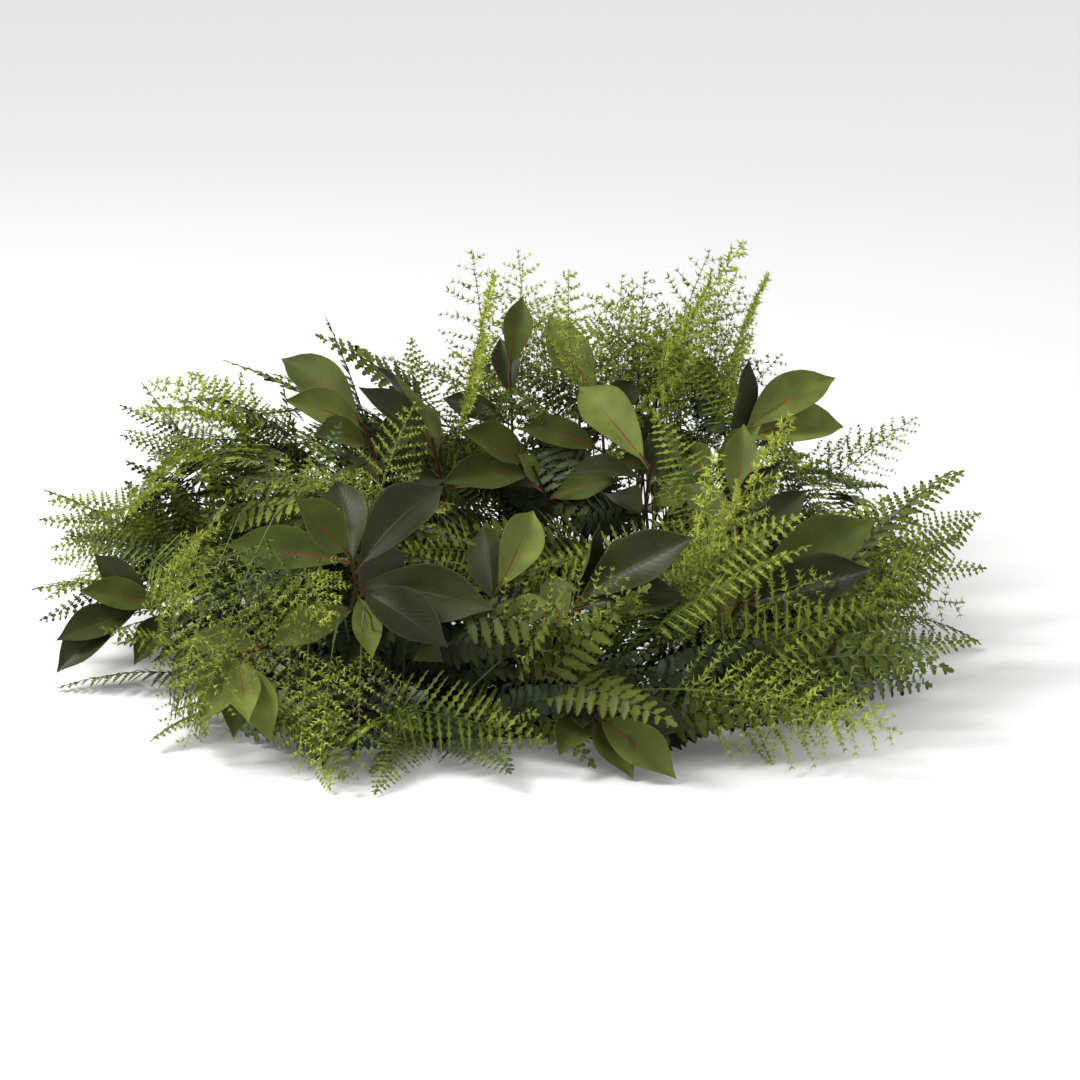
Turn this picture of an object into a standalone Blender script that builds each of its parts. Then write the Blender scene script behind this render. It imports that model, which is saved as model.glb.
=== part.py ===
"""A greenery garland laid round in a ring: laurel twigs, lace fern, scalloped fern and
asparagus plumes, all bound to one stem that lies on a table.

Every pick (a small branch) grows from the garland's stem. Its leaves or fronds are fused
with it into one solid, and each of them is bent until it clears the picks made before.
"""

import math
import random
from dataclasses import dataclass

import bmesh
import bpy
import numpy as np
from mathutils import Matrix, Vector
from mathutils.bvhtree import BVHTree

# Driving dimensions, in metres and degrees
RING_RADIUS = 0.275
STEM_THICKNESS = 0.012
STEM_SIDES = 8
STEM_STEP = 12.0
CORNER_KEEP = 0.3
OVERLAP_START = 225.0
OVERLAP_TURN = 24.0
TAIL_SIDE = 45.0
CLEAR = 0.0004
TIE_STATION = 231.0
TIE_WIRE = 0.002
TIE_TURNS = 3
TIE_PITCH = 0.0032
TIE_SIDE = 0.0095
TIE_SHOULDER = 0.0031

# The space that the garland fills round its stem, wider at its sides than at its front and
# back, and what it stays clear of
HALF_WIDTH = 0.474
HALF_DEPTH = 0.440
FULL_HEIGHT = 0.375
HOLE_RADIUS = 0.118
TABLE_GAP = 0.002
OUTWARD_REACH = 0.165
WIDER = 0.025
INWARD_REACH = 0.140
UPWARD_REACH = 0.235

# A pick's own stem: a foot on the garland's stem, then a bend in a few straight steps
FOOT_LENGTH = 0.014
PICK_THICKNESS = 0.004
PICK_STEPS = 2
PICK_TAPER = 0.25
PICK_BEND = 0.4
ROOT_DEPTH = 0.002

# Leaf and frond lengths, and how many a pick carries
LENGTHS = {"laurel": 0.115, "lace": 0.195, "scallop": 0.170, "plume": 0.200}
COUNTS = {"laurel": 6, "lace": 4, "scallop": 3, "plume": 2}

# Leaves and fronds are shaped flat, with a length of 1, and these are shares of it.
# A leaf: how wide it is along its length, how thick, and how far its edges stand up
LEAF_STATIONS = [0.0, 0.10, 0.34, 0.62, 0.86, 1.0]
LEAF_WIDTHS = [0.0, 0.014, 0.175, 0.215, 0.130, 0.0]
LEAF_THICKNESS = 0.0065
LEAF_CUP = 0.3

# A rib: its length before its tip is drawn out, and what is left of its thickness there
RIB_LENGTH = 0.985
RIB_TAPER = 0.4
FROND_RIB = 0.0062
PLUME_RIB = 0.0058

# A frond: its pairs of pinnae, bare stipe, widest pinna and how far they point forwards
FRONDS = {
    "lace": {"pairs": 6, "stipe": 0.14, "widest": 0.26, "sweep": 0.35},
    "scallop": {"pairs": 5, "stipe": 0.12, "widest": 0.20, "sweep": 0.45},
}
FROND_FALL = 0.22
FROND_START = 0.72
FROND_SWELL = 1.6
FROND_NARROWING = 0.8
PINNA_LEAST = 0.012

# A plume: its branch pairs along the rib, their joint, reach, sweep and fall, the places
# where a branch is cut to draw needles from it, and a needle's length and forward lean
PLUME_PAIRS = 3
PLUME_FIRST = 0.20
PLUME_SPACING = 0.24
PLUME_JOINT = 0.028
PLUME_REACH = 0.37
PLUME_NARROWING = 0.7
PLUME_SWEEP = 0.62
PLUME_FALL = 0.2
NEEDLES_FROM = 0.02
NEEDLES_TO = 0.085
NEEDLE_LENGTH = 0.045
NEEDLE_LEAN = 0.02

# How the leaves or fronds of a pick stand round it: how far down it they reach, their
# opening and what it and the turn may differ by, and the spans of what is drawn for each.
# Those that are set by hand face one way, and the others face the sky.
GOLDEN = math.radians(137.508)
LEAF_FAN = {
    "spread": 14.0, "open": 66.0, "down": 0.45, "off": 14.0, "open_off": 7.0,
    "ease": 0.7, "size": (0.85, 1.08), "droop": (0.05, 0.35), "curl": (-0.5, 0.2), "roll": 20.0,
}
SET_LEAVES = {"down": 0.30, "facing": (270, 40)}
FROND_FAN = {
    "down": 0.22, "off": 25.0, "shrink": (0.75, 0.95), "lead_open": (0, 8),
    "side_open": (26, 46), "droop": (0.2, 0.7), "curl": (-0.35, 0.1), "roll": 25.0,
}
SKY = {"around": 0.6, "up": 0.55, "leaf": 0.5, "along": 0.8}
NEAR_PARALLEL = 0.05

# How a leaf or frond grows, and how it or a pick is turned a little further each time
# until it is clear. A blade is free of its own pick's others past a share of its length.
GROW_STEPS = 8
FREE_FROM = 0.22
BEND_TRIES = 90
BEND_STEP = math.radians(3.4)
BEND_SHRINK = 0.004
STEM_TRIES = 120
CLOCK_STEP = 3.5
SWIRL_STEP = 0.06
SEED = 41
SOLVER = "EXACT"


@dataclass
class Pick:
    """One branch. It leaves the ring at a station (270 is the front), at a clock angle
    round the stem (0 outwards, 90 up, 180 inwards), and leans along the stem by its swirl.
    Its head lies that far off, and points along aim: a compass direction and a rise.
    Leaves that are set by hand each have a compass direction, rise, length and roll."""

    kind: str
    station: float
    clock: float
    swirl: float
    reach: float
    size: float = 1.0
    aim: tuple = None
    count: int = None
    leaves: tuple = ()

    def blade_count(self):
        return len(self.leaves) or self.count or COUNTS[self.kind]


# The picks that give the garland its outline and its main leaf clusters
PICKS = [
    Pick("laurel", 240, 73, 0.08, 0.170, aim=(262, 42), leaves=(
        (235, 45, 0.105, 0), (167, 10, 0.120, 0), (102, 35, 0.112, 0),
        (40, 42, 0.130, 0), (345, 0, 0.135, 20), (315, -5, 0.115, 0),
        (285, -28, 0.070, 0), (72, 24, 0.105, 0), (215, -5, 0.095, 0),
    )),
    Pick("laurel", 312, 86, 0.40, 0.098, aim=(10, 40), leaves=(
        (356, 38, 0.150, 0), (342, 26, 0.140, 0), (42, 28, 0.095, 0),
        (75, 38, 0.085, 45), (322, 4, 0.075, 60), (80, 58, 0.090, 0),
    )),
    Pick("laurel", 280, 104, 0.15, 0.112, aim=(20, 50), leaves=(
        (342, 40, 0.130, 0), (335, 20, 0.110, 0), (48, 34, 0.115, 55),
        (66, 50, 0.110, 65), (100, 48, 0.075, 0), (200, 14, 0.090, 0),
    )),
    Pick("laurel", 262, 114, 0.06, 0.120, aim=(60, 55), leaves=(
        (60, 42, 0.108, 20), (84, 40, 0.105, -35), (314, 10, 0.085, 0),
        (155, 34, 0.100, 0), (225, 12, 0.090, 0),
    )),
    Pick("laurel", 75, 118, -0.60, 0.180, aim=(120, 50), leaves=(
        (138, 46, 0.135, 0), (205, 22, 0.095, 30), (64, 52, 0.095, 0),
        (330, 30, 0.090, 0), (100, 12, 0.100, 0),
    )),
    Pick("laurel", 78, 102, -0.25, 0.190, aim=(120, 50), leaves=(
        (132, 47, 0.118, 0), (104, 42, 0.090, 50), (60, 45, 0.095, 0),
        (182, 26, 0.095, 0), (20, 20, 0.095, 0),
    )),
    Pick("laurel", 42, 87, -0.20, 0.178, aim=(30, 30), leaves=(
        (28, 28, 0.128, 0), (16, 14, 0.130, 0), (68, 58, 0.105, 55),
        (305, -32, 0.075, 60), (22, -40, 0.090, 0), (312, 55, 0.085, 0),
        (110, 30, 0.100, 0),
    )),
    Pick("laurel", 132, 107, 0.12, 0.202, aim=(150, 38), leaves=(
        (148, 36, 0.122, 0), (212, 34, 0.105, 0), (236, 24, 0.100, 0),
        (215, -20, 0.085, 50), (60, 40, 0.100, 0), (105, 12, 0.100, 0),
    )),
    Pick("laurel", 118, 115, -0.04, 0.184, aim=(160, 40), leaves=(
        (134, 44, 0.112, 65), (195, 46, 0.115, 25), (112, 26, 0.115, 0),
        (252, 16, 0.095, 0), (22, 24, 0.100, 0),
    )),
    Pick("laurel", 95, 128, -0.18, 0.178, aim=(205, 25), leaves=(
        (213, 34, 0.105, 0), (207, 8, 0.112, 0), (240, 42, 0.065, 0),
        (152, 22, 0.100, 0), (325, 24, 0.095, 0),
    )),
    Pick("laurel", 236, 38, 0.12, 0.142, aim=(250, -35), leaves=(
        (300, -30, 0.092, 0), (277, -30, 0.088, 0), (238, -26, 0.085, 0),
        (256, -42, 0.085, 0), (214, -16, 0.075, 0), (185, 12, 0.075, 0),
    )),
    Pick("laurel", 197, 30, -0.20, 0.122, aim=(198, -25), leaves=(
        (222, -22, 0.100, 0), (204, -8, 0.095, 0), (165, 40, 0.080, 0),
        (188, 14, 0.090, 0), (245, -14, 0.085, 0),
    )),
    Pick("laurel", 90, 88, 0.05, 0.215, aim=(95, 76), leaves=(
        (75, 62, 0.088, 25), (102, 46, 0.080, 0), (160, 24, 0.085, 0), (240, 30, 0.080, 0),
    )),
    Pick("laurel", 284, 26, 0.10, 0.080, aim=(300, -8), leaves=(
        (313, -14, 0.105, 0), (290, -14, 0.085, 0), (335, 6, 0.100, 0),
        (255, -10, 0.085, 0), (270, 14, 0.075, 0),
    )),
    Pick("laurel", 350, 112, 0.25, 0.150, aim=(75, 45), leaves=(
        (75, 62, 0.090, 0), (318, 58, 0.085, 0), (122, 30, 0.095, 0),
        (30, 36, 0.095, 0), (205, 20, 0.085, 0),
    )),
    Pick("laurel", 58, 24, 0.30, 0.110, aim=(85, 8)),
    Pick("laurel", 148, 24, 0.30, 0.110, aim=(165, 8)),
    Pick("lace", 165, 48, 0.25, 0.070),
    Pick("lace", 173, 30, 0.40, 0.070),
    Pick("lace", 152, 62, 0.25, 0.085),
    Pick("lace", 205, 4, -0.15, 0.030, 0.85),
    Pick("lace", 345, 30, 0.58, 0.080),
    Pick("lace", 328, 18, 0.90, 0.060, 0.85),
    Pick("lace", 8, 50, 0.30, 0.060),
    Pick("lace", 244, 4, 0.35, 0.030, 0.85),
    Pick("lace", 256, 8, 0.55, 0.030, 0.85),
    Pick("lace", 120, 86, 0.05, 0.110, 0.95),
    Pick("plume", 74, 90, 0.05, 0.185, 1.10, count=3),
    Pick("plume", 66, 86, -0.15, 0.180, 1.15, count=3),
    Pick("plume", 52, 76, -0.10, 0.130, 1.10),
    Pick("plume", 106, 92, -0.15, 0.130, 1.05),
    Pick("plume", 228, 66, -0.20, 0.190, 0.95, (250, -20)),
    Pick("plume", 228, 108, 0.10, 0.170, 0.65, (60, 70)),
    Pick("plume", 300, 100, 0.50, 0.120, 0.95, (20, 45)),
    Pick("plume", 288, 40, 1.00, 0.110, 1.05, (10, -5)),
    Pick("plume", 290, 10, 1.05, 0.090, 1.05, (340, -6)),
    Pick("scallop", 262, 50, 0.60, 0.090, 1.00, (320, -12)),
    Pick("scallop", 304, 40, 0.90, 0.100, 1.00, (5, 5)),
    Pick("scallop", 96, 130, 0.30, 0.090, 0.85, (200, 10)),
]

# The rest, which go one by one to where the garland is still the barest
FILL_KINDS = ["lace", "scallop", "plume", "lace", "scallop"] * 3 + ["lace", "scallop", "plume", "lace"]
FILL_TRIES = 80
FILL_CLOCKS = (2, 165)
FILL_SWIRL = 0.35
FILL_SWIRL_OFF = 0.15
FRONT_SWIRL = 0.6
FRONT_STATION = 300
FILL_SHARE = 0.76
FILL_LEAST = 0.02


def direction(compass, rise):
    flat = math.cos(math.radians(rise))
    angle = math.radians(compass)
    return Vector(
        (flat * math.cos(angle), flat * math.sin(angle), math.sin(math.radians(rise)))
    )


def ring_point(station, radius=RING_RADIUS, height=0.0):
    return direction(station, 0) * radius + Vector((0, 0, height))


def stem_flat():
    """From the stem's centre line to the middle of any of its flat sides."""
    return STEM_THICKNESS / 2 * math.cos(math.pi / STEM_SIDES)


def stem_corner(step):
    """One point of the stem's line. Its tail swings out to lie beside its head, and both
    are lifted there to let the tie pass under them."""
    run = STEM_STEP * step
    beside = 2 * stem_flat() + CLEAR
    share = min(1.0, max(0.0, (run - 360.0) / OVERLAP_TURN + 1.0))
    tied = run <= OVERLAP_TURN or run >= 360.0
    lift = TIE_WIRE + 2 * CLEAR if tied else 0.0
    return ring_point(OVERLAP_START + run, RING_RADIUS + beside * share, stem_flat() + lift)


def strand_at(station, outermost):
    """A point on a straight length of the stem, well clear of its corners, and the
    direction of that length. Where two strands lie side by side, either can be had."""
    run = (station - OVERLAP_START) % 360.0
    if outermost and run < OVERLAP_TURN:
        run += 360.0
    step = int(run // STEM_STEP)
    share = min(1 - CORNER_KEEP, max(CORNER_KEEP, run / STEM_STEP - step))
    start, end = stem_corner(step), stem_corner(step + 1)
    return start.lerp(end, share), (end - start).normalized()


def tube(name, points, thickness, resolution=0, tilt=0.0, taper=None, twist="MINIMUM"):
    """A capped tube along a poly line, as a mesh object."""
    curve = bpy.data.curves.new(name, "CURVE")
    curve.dimensions = "3D"
    curve.twist_mode = twist
    curve.bevel_depth = thickness / 2
    curve.bevel_resolution = resolution
    curve.use_fill_caps = True
    spline = curve.splines.new("POLY")
    spline.points.add(len(points) - 1)
    for index, (spot, point) in enumerate(zip(spline.points, points)):
        spot.co = (*point, 1.0)
        spot.tilt = tilt
        spot.radius = taper[index] if taper else 1.0
    return curve_to_mesh(name, curve)


def curve_to_mesh(name, curve):
    guide = bpy.data.objects.new(name + "_guide", curve)
    bpy.context.scene.collection.objects.link(guide)
    graph = bpy.context.evaluated_depsgraph_get()
    mesh = bpy.data.meshes.new_from_object(guide.evaluated_get(graph))
    mesh.name = name
    bpy.data.objects.remove(guide)
    bm = bmesh.new()
    bm.from_mesh(mesh)
    bmesh.ops.remove_doubles(bm, verts=bm.verts, dist=1e-6)
    bmesh.ops.recalc_face_normals(bm, faces=bm.faces)
    bm.to_mesh(mesh)
    bm.free()
    return bpy.data.objects.new(name, mesh)


def make_stem(group):
    """The garland's stem, once round the ring, with its tail beside its head and one of
    its flat sides down on the table."""
    steps = round((360.0 + OVERLAP_TURN) / STEM_STEP)
    points = [stem_corner(step) for step in range(steps + 1)]
    flat_down = math.pi / STEM_SIDES
    stem = tube("garland_stem", points, STEM_THICKNESS, 2, flat_down, twist="Z_UP")
    group.objects.link(stem)
    return stem


def make_tie(group):
    """A coil of wire that binds the stem's two ends side by side."""
    head, along = strand_at(TIE_STATION, False)
    tail, _ = strand_at(TIE_STATION, True)
    outward = along.cross(Vector((0, 0, 1)))
    half = (tail - head).dot(outward) / 2
    wide, narrow = half + TIE_SIDE, half + TIE_SHOULDER
    high = stem_flat() + CLEAR + TIE_WIRE / 2
    loop = [(wide, 0), (narrow, high), (-narrow, high)]
    loop += [(-sideways, -upward) for sideways, upward in loop]
    points = []
    for step in range(TIE_TURNS * len(loop) + 1):
        sideways, upward = loop[step % len(loop)]
        shift = TIE_PITCH * (step / len(loop) - TIE_TURNS / 2)
        offset = outward * sideways + along * shift + Vector((0, 0, upward))
        points.append(head + outward * half + offset)
    tie = tube("end_tie", points, TIE_WIRE)
    group.objects.link(tie)
    return tie


def laurel_leaf_mesh():
    """A squashed four-sided sphere: its poles are the stalk's end and the leaf's tip."""
    bm = bmesh.new()
    bmesh.ops.create_uvsphere(bm, u_segments=4, v_segments=5, radius=1.0)
    bmesh.ops.rotate(bm, verts=bm.verts, matrix=Matrix.Rotation(-math.pi / 2, 3, "X"))
    levels = sorted({round(vert.co.y, 3) for vert in bm.verts})
    for vert in bm.verts:
        level = min(range(len(levels)), key=lambda n: abs(levels[n] - vert.co.y))
        around = max(0.01, math.hypot(vert.co.x, vert.co.z))
        side = round(vert.co.x / around)
        face = round(vert.co.z / around)
        width = LEAF_WIDTHS[level]
        height = abs(side) * LEAF_CUP * width + face * min(width, LEAF_THICKNESS)
        vert.co = Vector((side * width, LEAF_STATIONS[level], height))
    return finish_template(bm, "laurel_leaf")


def three_sided_rod(bm, rib):
    """A tapering rod along +Y from y = 0, with a ridge on top and a flat face below."""
    tip = rib * RIB_TAPER
    bmesh.ops.create_cone(
        bm, cap_ends=True, segments=3, radius1=rib, radius2=tip, depth=RIB_LENGTH
    )
    bmesh.ops.rotate(bm, verts=bm.verts, matrix=Matrix.Rotation(-math.pi / 2, 3, "X"))
    top = max(bm.verts, key=lambda vert: abs(vert.co.z))
    if top.co.z < 0:
        bmesh.ops.rotate(bm, verts=bm.verts, matrix=Matrix.Rotation(math.pi, 3, "Y"))
    bmesh.ops.translate(bm, verts=bm.verts, vec=(0, RIB_LENGTH / 2, 0))


def slice_across(bm, axis, distance):
    everything = bm.verts[:] + bm.edges[:] + bm.faces[:]
    plane_co = Vector(axis) * distance
    bmesh.ops.bisect_plane(
        bm, geom=everything, plane_co=plane_co, plane_no=axis, dist=1e-7
    )


def point_the_end(bm):
    """Draws the far cap out to a tip at y = 1."""
    bm.normal_update()
    cap = max(bm.faces, key=lambda face: face.calc_center_median().y)
    tip = bmesh.ops.poke(bm, faces=[cap])["verts"][0]
    tip.co = Vector((0, 1, 0))


def side_faces(bm, start, end):
    """The rod's sloping faces whose middles lie between two distances along it."""
    return [
        face
        for face in bm.faces
        if abs(face.normal.x) > 0.5 and start < face.calc_center_median().y < end
    ]


def draw_out(bm, faces, reach_at, sweep, fall):
    """Draws each side face out into a pinna or a branch, and returns their tips."""
    tips = bmesh.ops.poke(bm, faces=faces)["verts"]
    for tip in tips:
        reach = reach_at(tip.co.y)
        side = math.copysign(reach, tip.co.x)
        tip.co = Vector((side, tip.co.y + sweep * reach, -fall * reach))
    return tips


def frond_mesh(name, pairs, stipe, widest, sweep):
    """A rib cut into one length for each pair of pinnae, which its side faces become."""
    bm = bmesh.new()
    three_sided_rod(bm, FROND_RIB)
    for cut in range(pairs):
        slice_across(bm, (0, 1, 0), stipe + (RIB_LENGTH - stipe) * cut / pairs)
    bm.normal_update()

    def reach_at(y):
        share = (y - stipe) / (1 - stipe)
        swell = min(1.0, FROND_START + FROND_SWELL * share)
        return widest * (1 - share) ** FROND_NARROWING * swell + PINNA_LEAST

    draw_out(bm, side_faces(bm, stipe, 1.0), reach_at, sweep, FROND_FALL)
    point_the_end(bm)
    return finish_template(bm, name)


def plume_mesh():
    """A flat asparagus plume: a slim axis, slim side branches and a few needles."""
    bm = bmesh.new()
    three_sided_rod(bm, PLUME_RIB)
    starts = [PLUME_FIRST + PLUME_SPACING * branch for branch in range(PLUME_PAIRS)]
    for start in starts:
        slice_across(bm, (0, 1, 0), start)
        slice_across(bm, (0, 1, 0), start + PLUME_JOINT)
    bm.normal_update()
    joints = [face for start in starts for face in side_faces(bm, start, start + PLUME_JOINT)]
    draw_out(bm, joints, lambda y: PLUME_REACH * (1 - y) ** PLUME_NARROWING, PLUME_SWEEP, PLUME_FALL)
    for cut in (NEEDLES_TO, -NEEDLES_TO):
        slice_across(bm, (1, 0, 0), cut)
    bm.normal_update()
    for face in needle_bands(bm):
        middle = face.calc_center_median()
        outward = face.normal.copy()
        needle = bmesh.ops.poke(bm, faces=[face])["verts"][0]
        needle.co = middle + outward * NEEDLE_LENGTH + Vector((0, NEEDLE_LEAN, 0))
    point_the_end(bm)
    return finish_template(bm, "plume")


def needle_bands(bm):
    """The branches' inner faces, of which one branch pair has its needles above and
    below and the next has them in front and behind."""
    bands = []
    for face in bm.faces:
        middle = face.calc_center_median()
        if len(face.verts) != 4 or not NEEDLES_FROM < abs(middle.x) < NEEDLES_TO:
            continue
        upright = abs(face.normal.z) > abs(face.normal.y)
        odd = round((middle.y - PLUME_FIRST) / PLUME_SPACING) % 2 == 1
        if upright != odd:
            bands.append(face)
    return bands


def finish_template(bm, name):
    bmesh.ops.triangulate(bm, faces=bm.faces)
    bmesh.ops.recalc_face_normals(bm, faces=bm.faces)
    mesh = bpy.data.meshes.new(name)
    bm.to_mesh(mesh)
    bm.free()
    return Template(mesh)


class Template:
    """A flat leaf or frond of length 1 along +Y, facing +Z."""

    def __init__(self, mesh):
        self.mesh = mesh
        self.flat = np.array([tuple(vert.co) for vert in mesh.vertices])
        self.faces = [tuple(face.vertices) for face in mesh.polygons]
        free = self.flat[:, 1] > FREE_FROM
        self.free_faces = [face for face in self.faces if free[list(face)].all()]


def grow(root, heading, normal, length, droop, curl):
    """The line that a leaf or frond follows: points, headings and blade normals."""
    rows = []
    step = length / GROW_STEPS
    spot = root.copy()
    for _ in range(GROW_STEPS + 1):
        normal = (normal - heading * normal.dot(heading)).normalized()
        rows.append((*spot, *heading, *normal))
        spot = spot + heading * step
        turn = normal * curl - Vector((0, 0, droop))
        heading = (heading + turn / GROW_STEPS).normalized()
    return np.array(rows)


def lay_along(flat, rows, length):
    """A flat template's points, laid along a grown line."""
    marks = np.linspace(0, 1, GROW_STEPS + 1)
    read = [np.interp(flat[:, 1], marks, rows[:, n]) for n in range(9)]
    line = np.stack(read, axis=1)
    spots, headings, normals = line[:, :3], line[:, 3:6], line[:, 6:]
    across = np.cross(headings, normals)
    return spots + (across * flat[:, :1] + normals * flat[:, 2:]) * length


class Placed:
    """What has been placed so far, for telling whether the next piece is clear."""

    def __init__(self):
        self.trees = []
        self.free_trees = []
        self.lows = []
        self.highs = []
        self.owners = []

    def add(self, points, faces, owner, free_faces=()):
        self.trees.append(BVHTree.FromPolygons(points.tolist(), faces))
        self.free_trees.append(BVHTree.FromPolygons(points.tolist(), free_faces))
        self.lows.append(points.min(axis=0))
        self.highs.append(points.max(axis=0))
        self.owners.append(owner)

    def is_clear(self, points, faces, owner, free_faces=()):
        """Clear of the table, the hole, every other pick, and its own pick's free ends."""
        if not inside_limits(points):
            return False
        low, high = points.min(axis=0), points.max(axis=0)
        near = (np.array(self.lows) < high) & (np.array(self.highs) > low)
        tree = BVHTree.FromPolygons(points.tolist(), faces)
        free_tree = BVHTree.FromPolygons(points.tolist(), free_faces)
        for index in np.flatnonzero(near.all(axis=1)):
            if self.owners[index] == owner:
                if free_tree.overlap(self.free_trees[index]):
                    return False
            elif tree.overlap(self.trees[index]):
                return False
        return True


def inside_limits(points):
    low, high = points.min(axis=0), points.max(axis=0)
    if low[2] < TABLE_GAP or high[2] > FULL_HEIGHT:
        return False
    if max(-low[0], high[0]) > HALF_WIDTH or max(-low[1], high[1]) > HALF_DEPTH:
        return False
    return np.hypot(points[:, 0], points[:, 1]).min() > HOLE_RADIUS


def pick_line(pick, clock, swirl):
    """The pick's stem: a foot along the garland's stem, then a bend out to its head."""
    strand, along = strand_at(pick.station, clock < TAIL_SIDE)
    turn = math.radians(clock)
    around = along.cross(Vector((0, 0, 1))) * math.cos(turn) + Vector((0, 0, math.sin(turn)))
    lean = (around + along * swirl).normalized()
    foot = strand + around * (stem_surface(clock) + CLEAR)
    side = math.copysign(1.0, swirl)
    head = foot + lean * pick.reach
    aim = direction(*pick.aim) if pick.aim else lean
    middle = head - aim * (PICK_BEND * pick.reach)
    points = [foot - along * (FOOT_LENGTH * side)]
    for step in range(PICK_STEPS + 1):
        t = step / PICK_STEPS
        points.append(foot * (1 - t) ** 2 + middle * (2 * t * (1 - t)) + head * t * t)
    return points, around


def stem_surface(clock):
    """How far the stem's flat-sided surface reaches towards a clock angle."""
    flat = 360.0 / STEM_SIDES
    off_corner = (clock + flat / 2) % flat - flat / 2
    return STEM_THICKNESS / 2 * math.cos(math.radians(flat / 2 - abs(off_corner)))


def seated(stem, line, around):
    """Moves the pick out from the garland's stem until its foot just clears it."""
    corners = [vert.co for vert in stem.data.vertices]
    foot_corners = [corner for corner in corners if (corner - line[0]).length < PICK_THICKNESS]
    sunk = max((line[0] - corner).dot(around) for corner in foot_corners)
    stem.data.transform(Matrix.Translation(around * sunk))
    return [point + around * sunk for point in line]


@dataclass
class Blade:
    """One leaf or frond: its place up the pick's stem, the angles at which it leaves it,
    its length, how it droops and curls, and how far it is rolled about its own rib.
    One that is set by hand has a compass direction and a rise instead of the angles."""

    place: float
    azimuth: float
    opening: float
    length: float
    droop: float
    curl: float
    roll: float
    aim: tuple = None


def laurel_blades(rng, pick):
    """Leaves in a spiral down the twig, the outermost first and the least open."""
    fan = LEAF_FAN
    count = pick.blade_count()
    start = rng.uniform(0, 360)
    blades = []
    for n in range(count):
        share = n / (count - 1)
        opening = fan["spread"] + (fan["open"] - fan["spread"]) * share ** fan["ease"]
        blades.append(
            Blade(
                1.0 - fan["down"] * share,
                start + n * math.degrees(GOLDEN) + rng.uniform(-fan["off"], fan["off"]),
                opening + rng.uniform(-fan["open_off"], fan["open_off"]),
                LENGTHS["laurel"] * pick.size * rng.uniform(*fan["size"]),
                rng.uniform(*fan["droop"]),
                rng.uniform(*fan["curl"]),
                rng.uniform(-fan["roll"], fan["roll"]),
            )
        )
    return blades


def set_blades(rng, pick):
    """The leaves that a pick has set by hand."""
    last = len(pick.leaves) - 1
    blades = laurel_blades(rng, pick)
    for n, (compass, rise, length, roll) in enumerate(pick.leaves):
        blades[n].place = 1.0 - SET_LEAVES["down"] * n / last
        blades[n].aim = (compass, rise)
        blades[n].length = length
        blades[n].roll = roll
    return blades


def frond_blades(rng, pick):
    """Fronds that fan out from the pick, one of them straight on from its head."""
    fan = FROND_FAN
    count = pick.blade_count()
    start = rng.uniform(0, 360)
    blades = []
    for n in range(count):
        shrink = rng.uniform(*fan["shrink"]) if n > 0 else 1.0
        blades.append(
            Blade(
                1.0 - fan["down"] * n,
                start + n * 360 / max(1, count - 1) + rng.uniform(-fan["off"], fan["off"]),
                rng.uniform(*fan["side_open"]) if n > 0 else rng.uniform(*fan["lead_open"]),
                LENGTHS[pick.kind] * pick.size * shrink,
                rng.uniform(*fan["droop"]),
                rng.uniform(*fan["curl"]),
                rng.uniform(-fan["roll"], fan["roll"]),
            )
        )
    return blades


def pick_blades(rng, pick):
    if pick.leaves:
        return set_blades(rng, pick)
    return laurel_blades(rng, pick) if pick.kind == "laurel" else frond_blades(rng, pick)


def point_on(points, place):
    """A point on the pick's stem, with place from 0 at its foot to 1 at its head."""
    at = place * (len(points) - 1)
    index = min(int(at), len(points) - 2)
    tangent = (points[index + 1] - points[index]).normalized()
    return points[index].lerp(points[index + 1], at - index), tangent


def fanned(kind, tangent, around, blade):
    """The heading of a blade that leaves its stem at its own angles, and where it faces."""
    sky = (around * SKY["around"] + Vector((0, 0, SKY["up"]))).normalized()
    side = sky.cross(tangent)
    if side.length < NEAR_PARALLEL:
        side = tangent.orthogonal()
    side = Matrix.Rotation(math.radians(blade.azimuth), 3, tangent) @ side.normalized()
    opening = math.radians(blade.opening)
    heading = tangent * math.cos(opening) + side * math.sin(opening)
    face = tangent * SKY["along"] + sky * SKY["leaf"] if kind == "laurel" else sky
    return heading, face


def blade_start(kind, points, around, blade):
    """Root, heading and face of one leaf or frond before it is bent clear."""
    root, tangent = point_on(points, blade.place)
    if blade.aim:
        heading, face = direction(*blade.aim), direction(*SET_LEAVES["facing"])
    else:
        heading, face = fanned(kind, tangent, around, blade)
    face = (face - heading * face.dot(heading)).normalized()
    face = Matrix.Rotation(math.radians(blade.roll), 3, heading) @ face
    return root - tangent * ROOT_DEPTH, heading, face


def bent(heading, face, attempt):
    """The heading turned a little further from where it began with each attempt."""
    across = heading.cross(face)
    axis = face * math.cos(attempt * GOLDEN) + across * math.sin(attempt * GOLDEN)
    turn = Matrix.Rotation(BEND_STEP * math.sqrt(attempt), 3, axis)
    return turn @ heading, turn @ face


def place_blade(placed, template, start, blade, owner):
    """The first bend of the blade that is clear of every other pick, or None."""
    root, heading, face = start
    for attempt in range(BEND_TRIES):
        length = blade.length * (1 - BEND_SHRINK * attempt)
        aim, normal = bent(heading, face, attempt)
        rows = grow(root, aim, normal, length, blade.droop, blade.curl)
        spots = lay_along(template.flat, rows, length)
        if placed.is_clear(spots, template.faces, owner, template.free_faces):
            return spots
    return None


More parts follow.
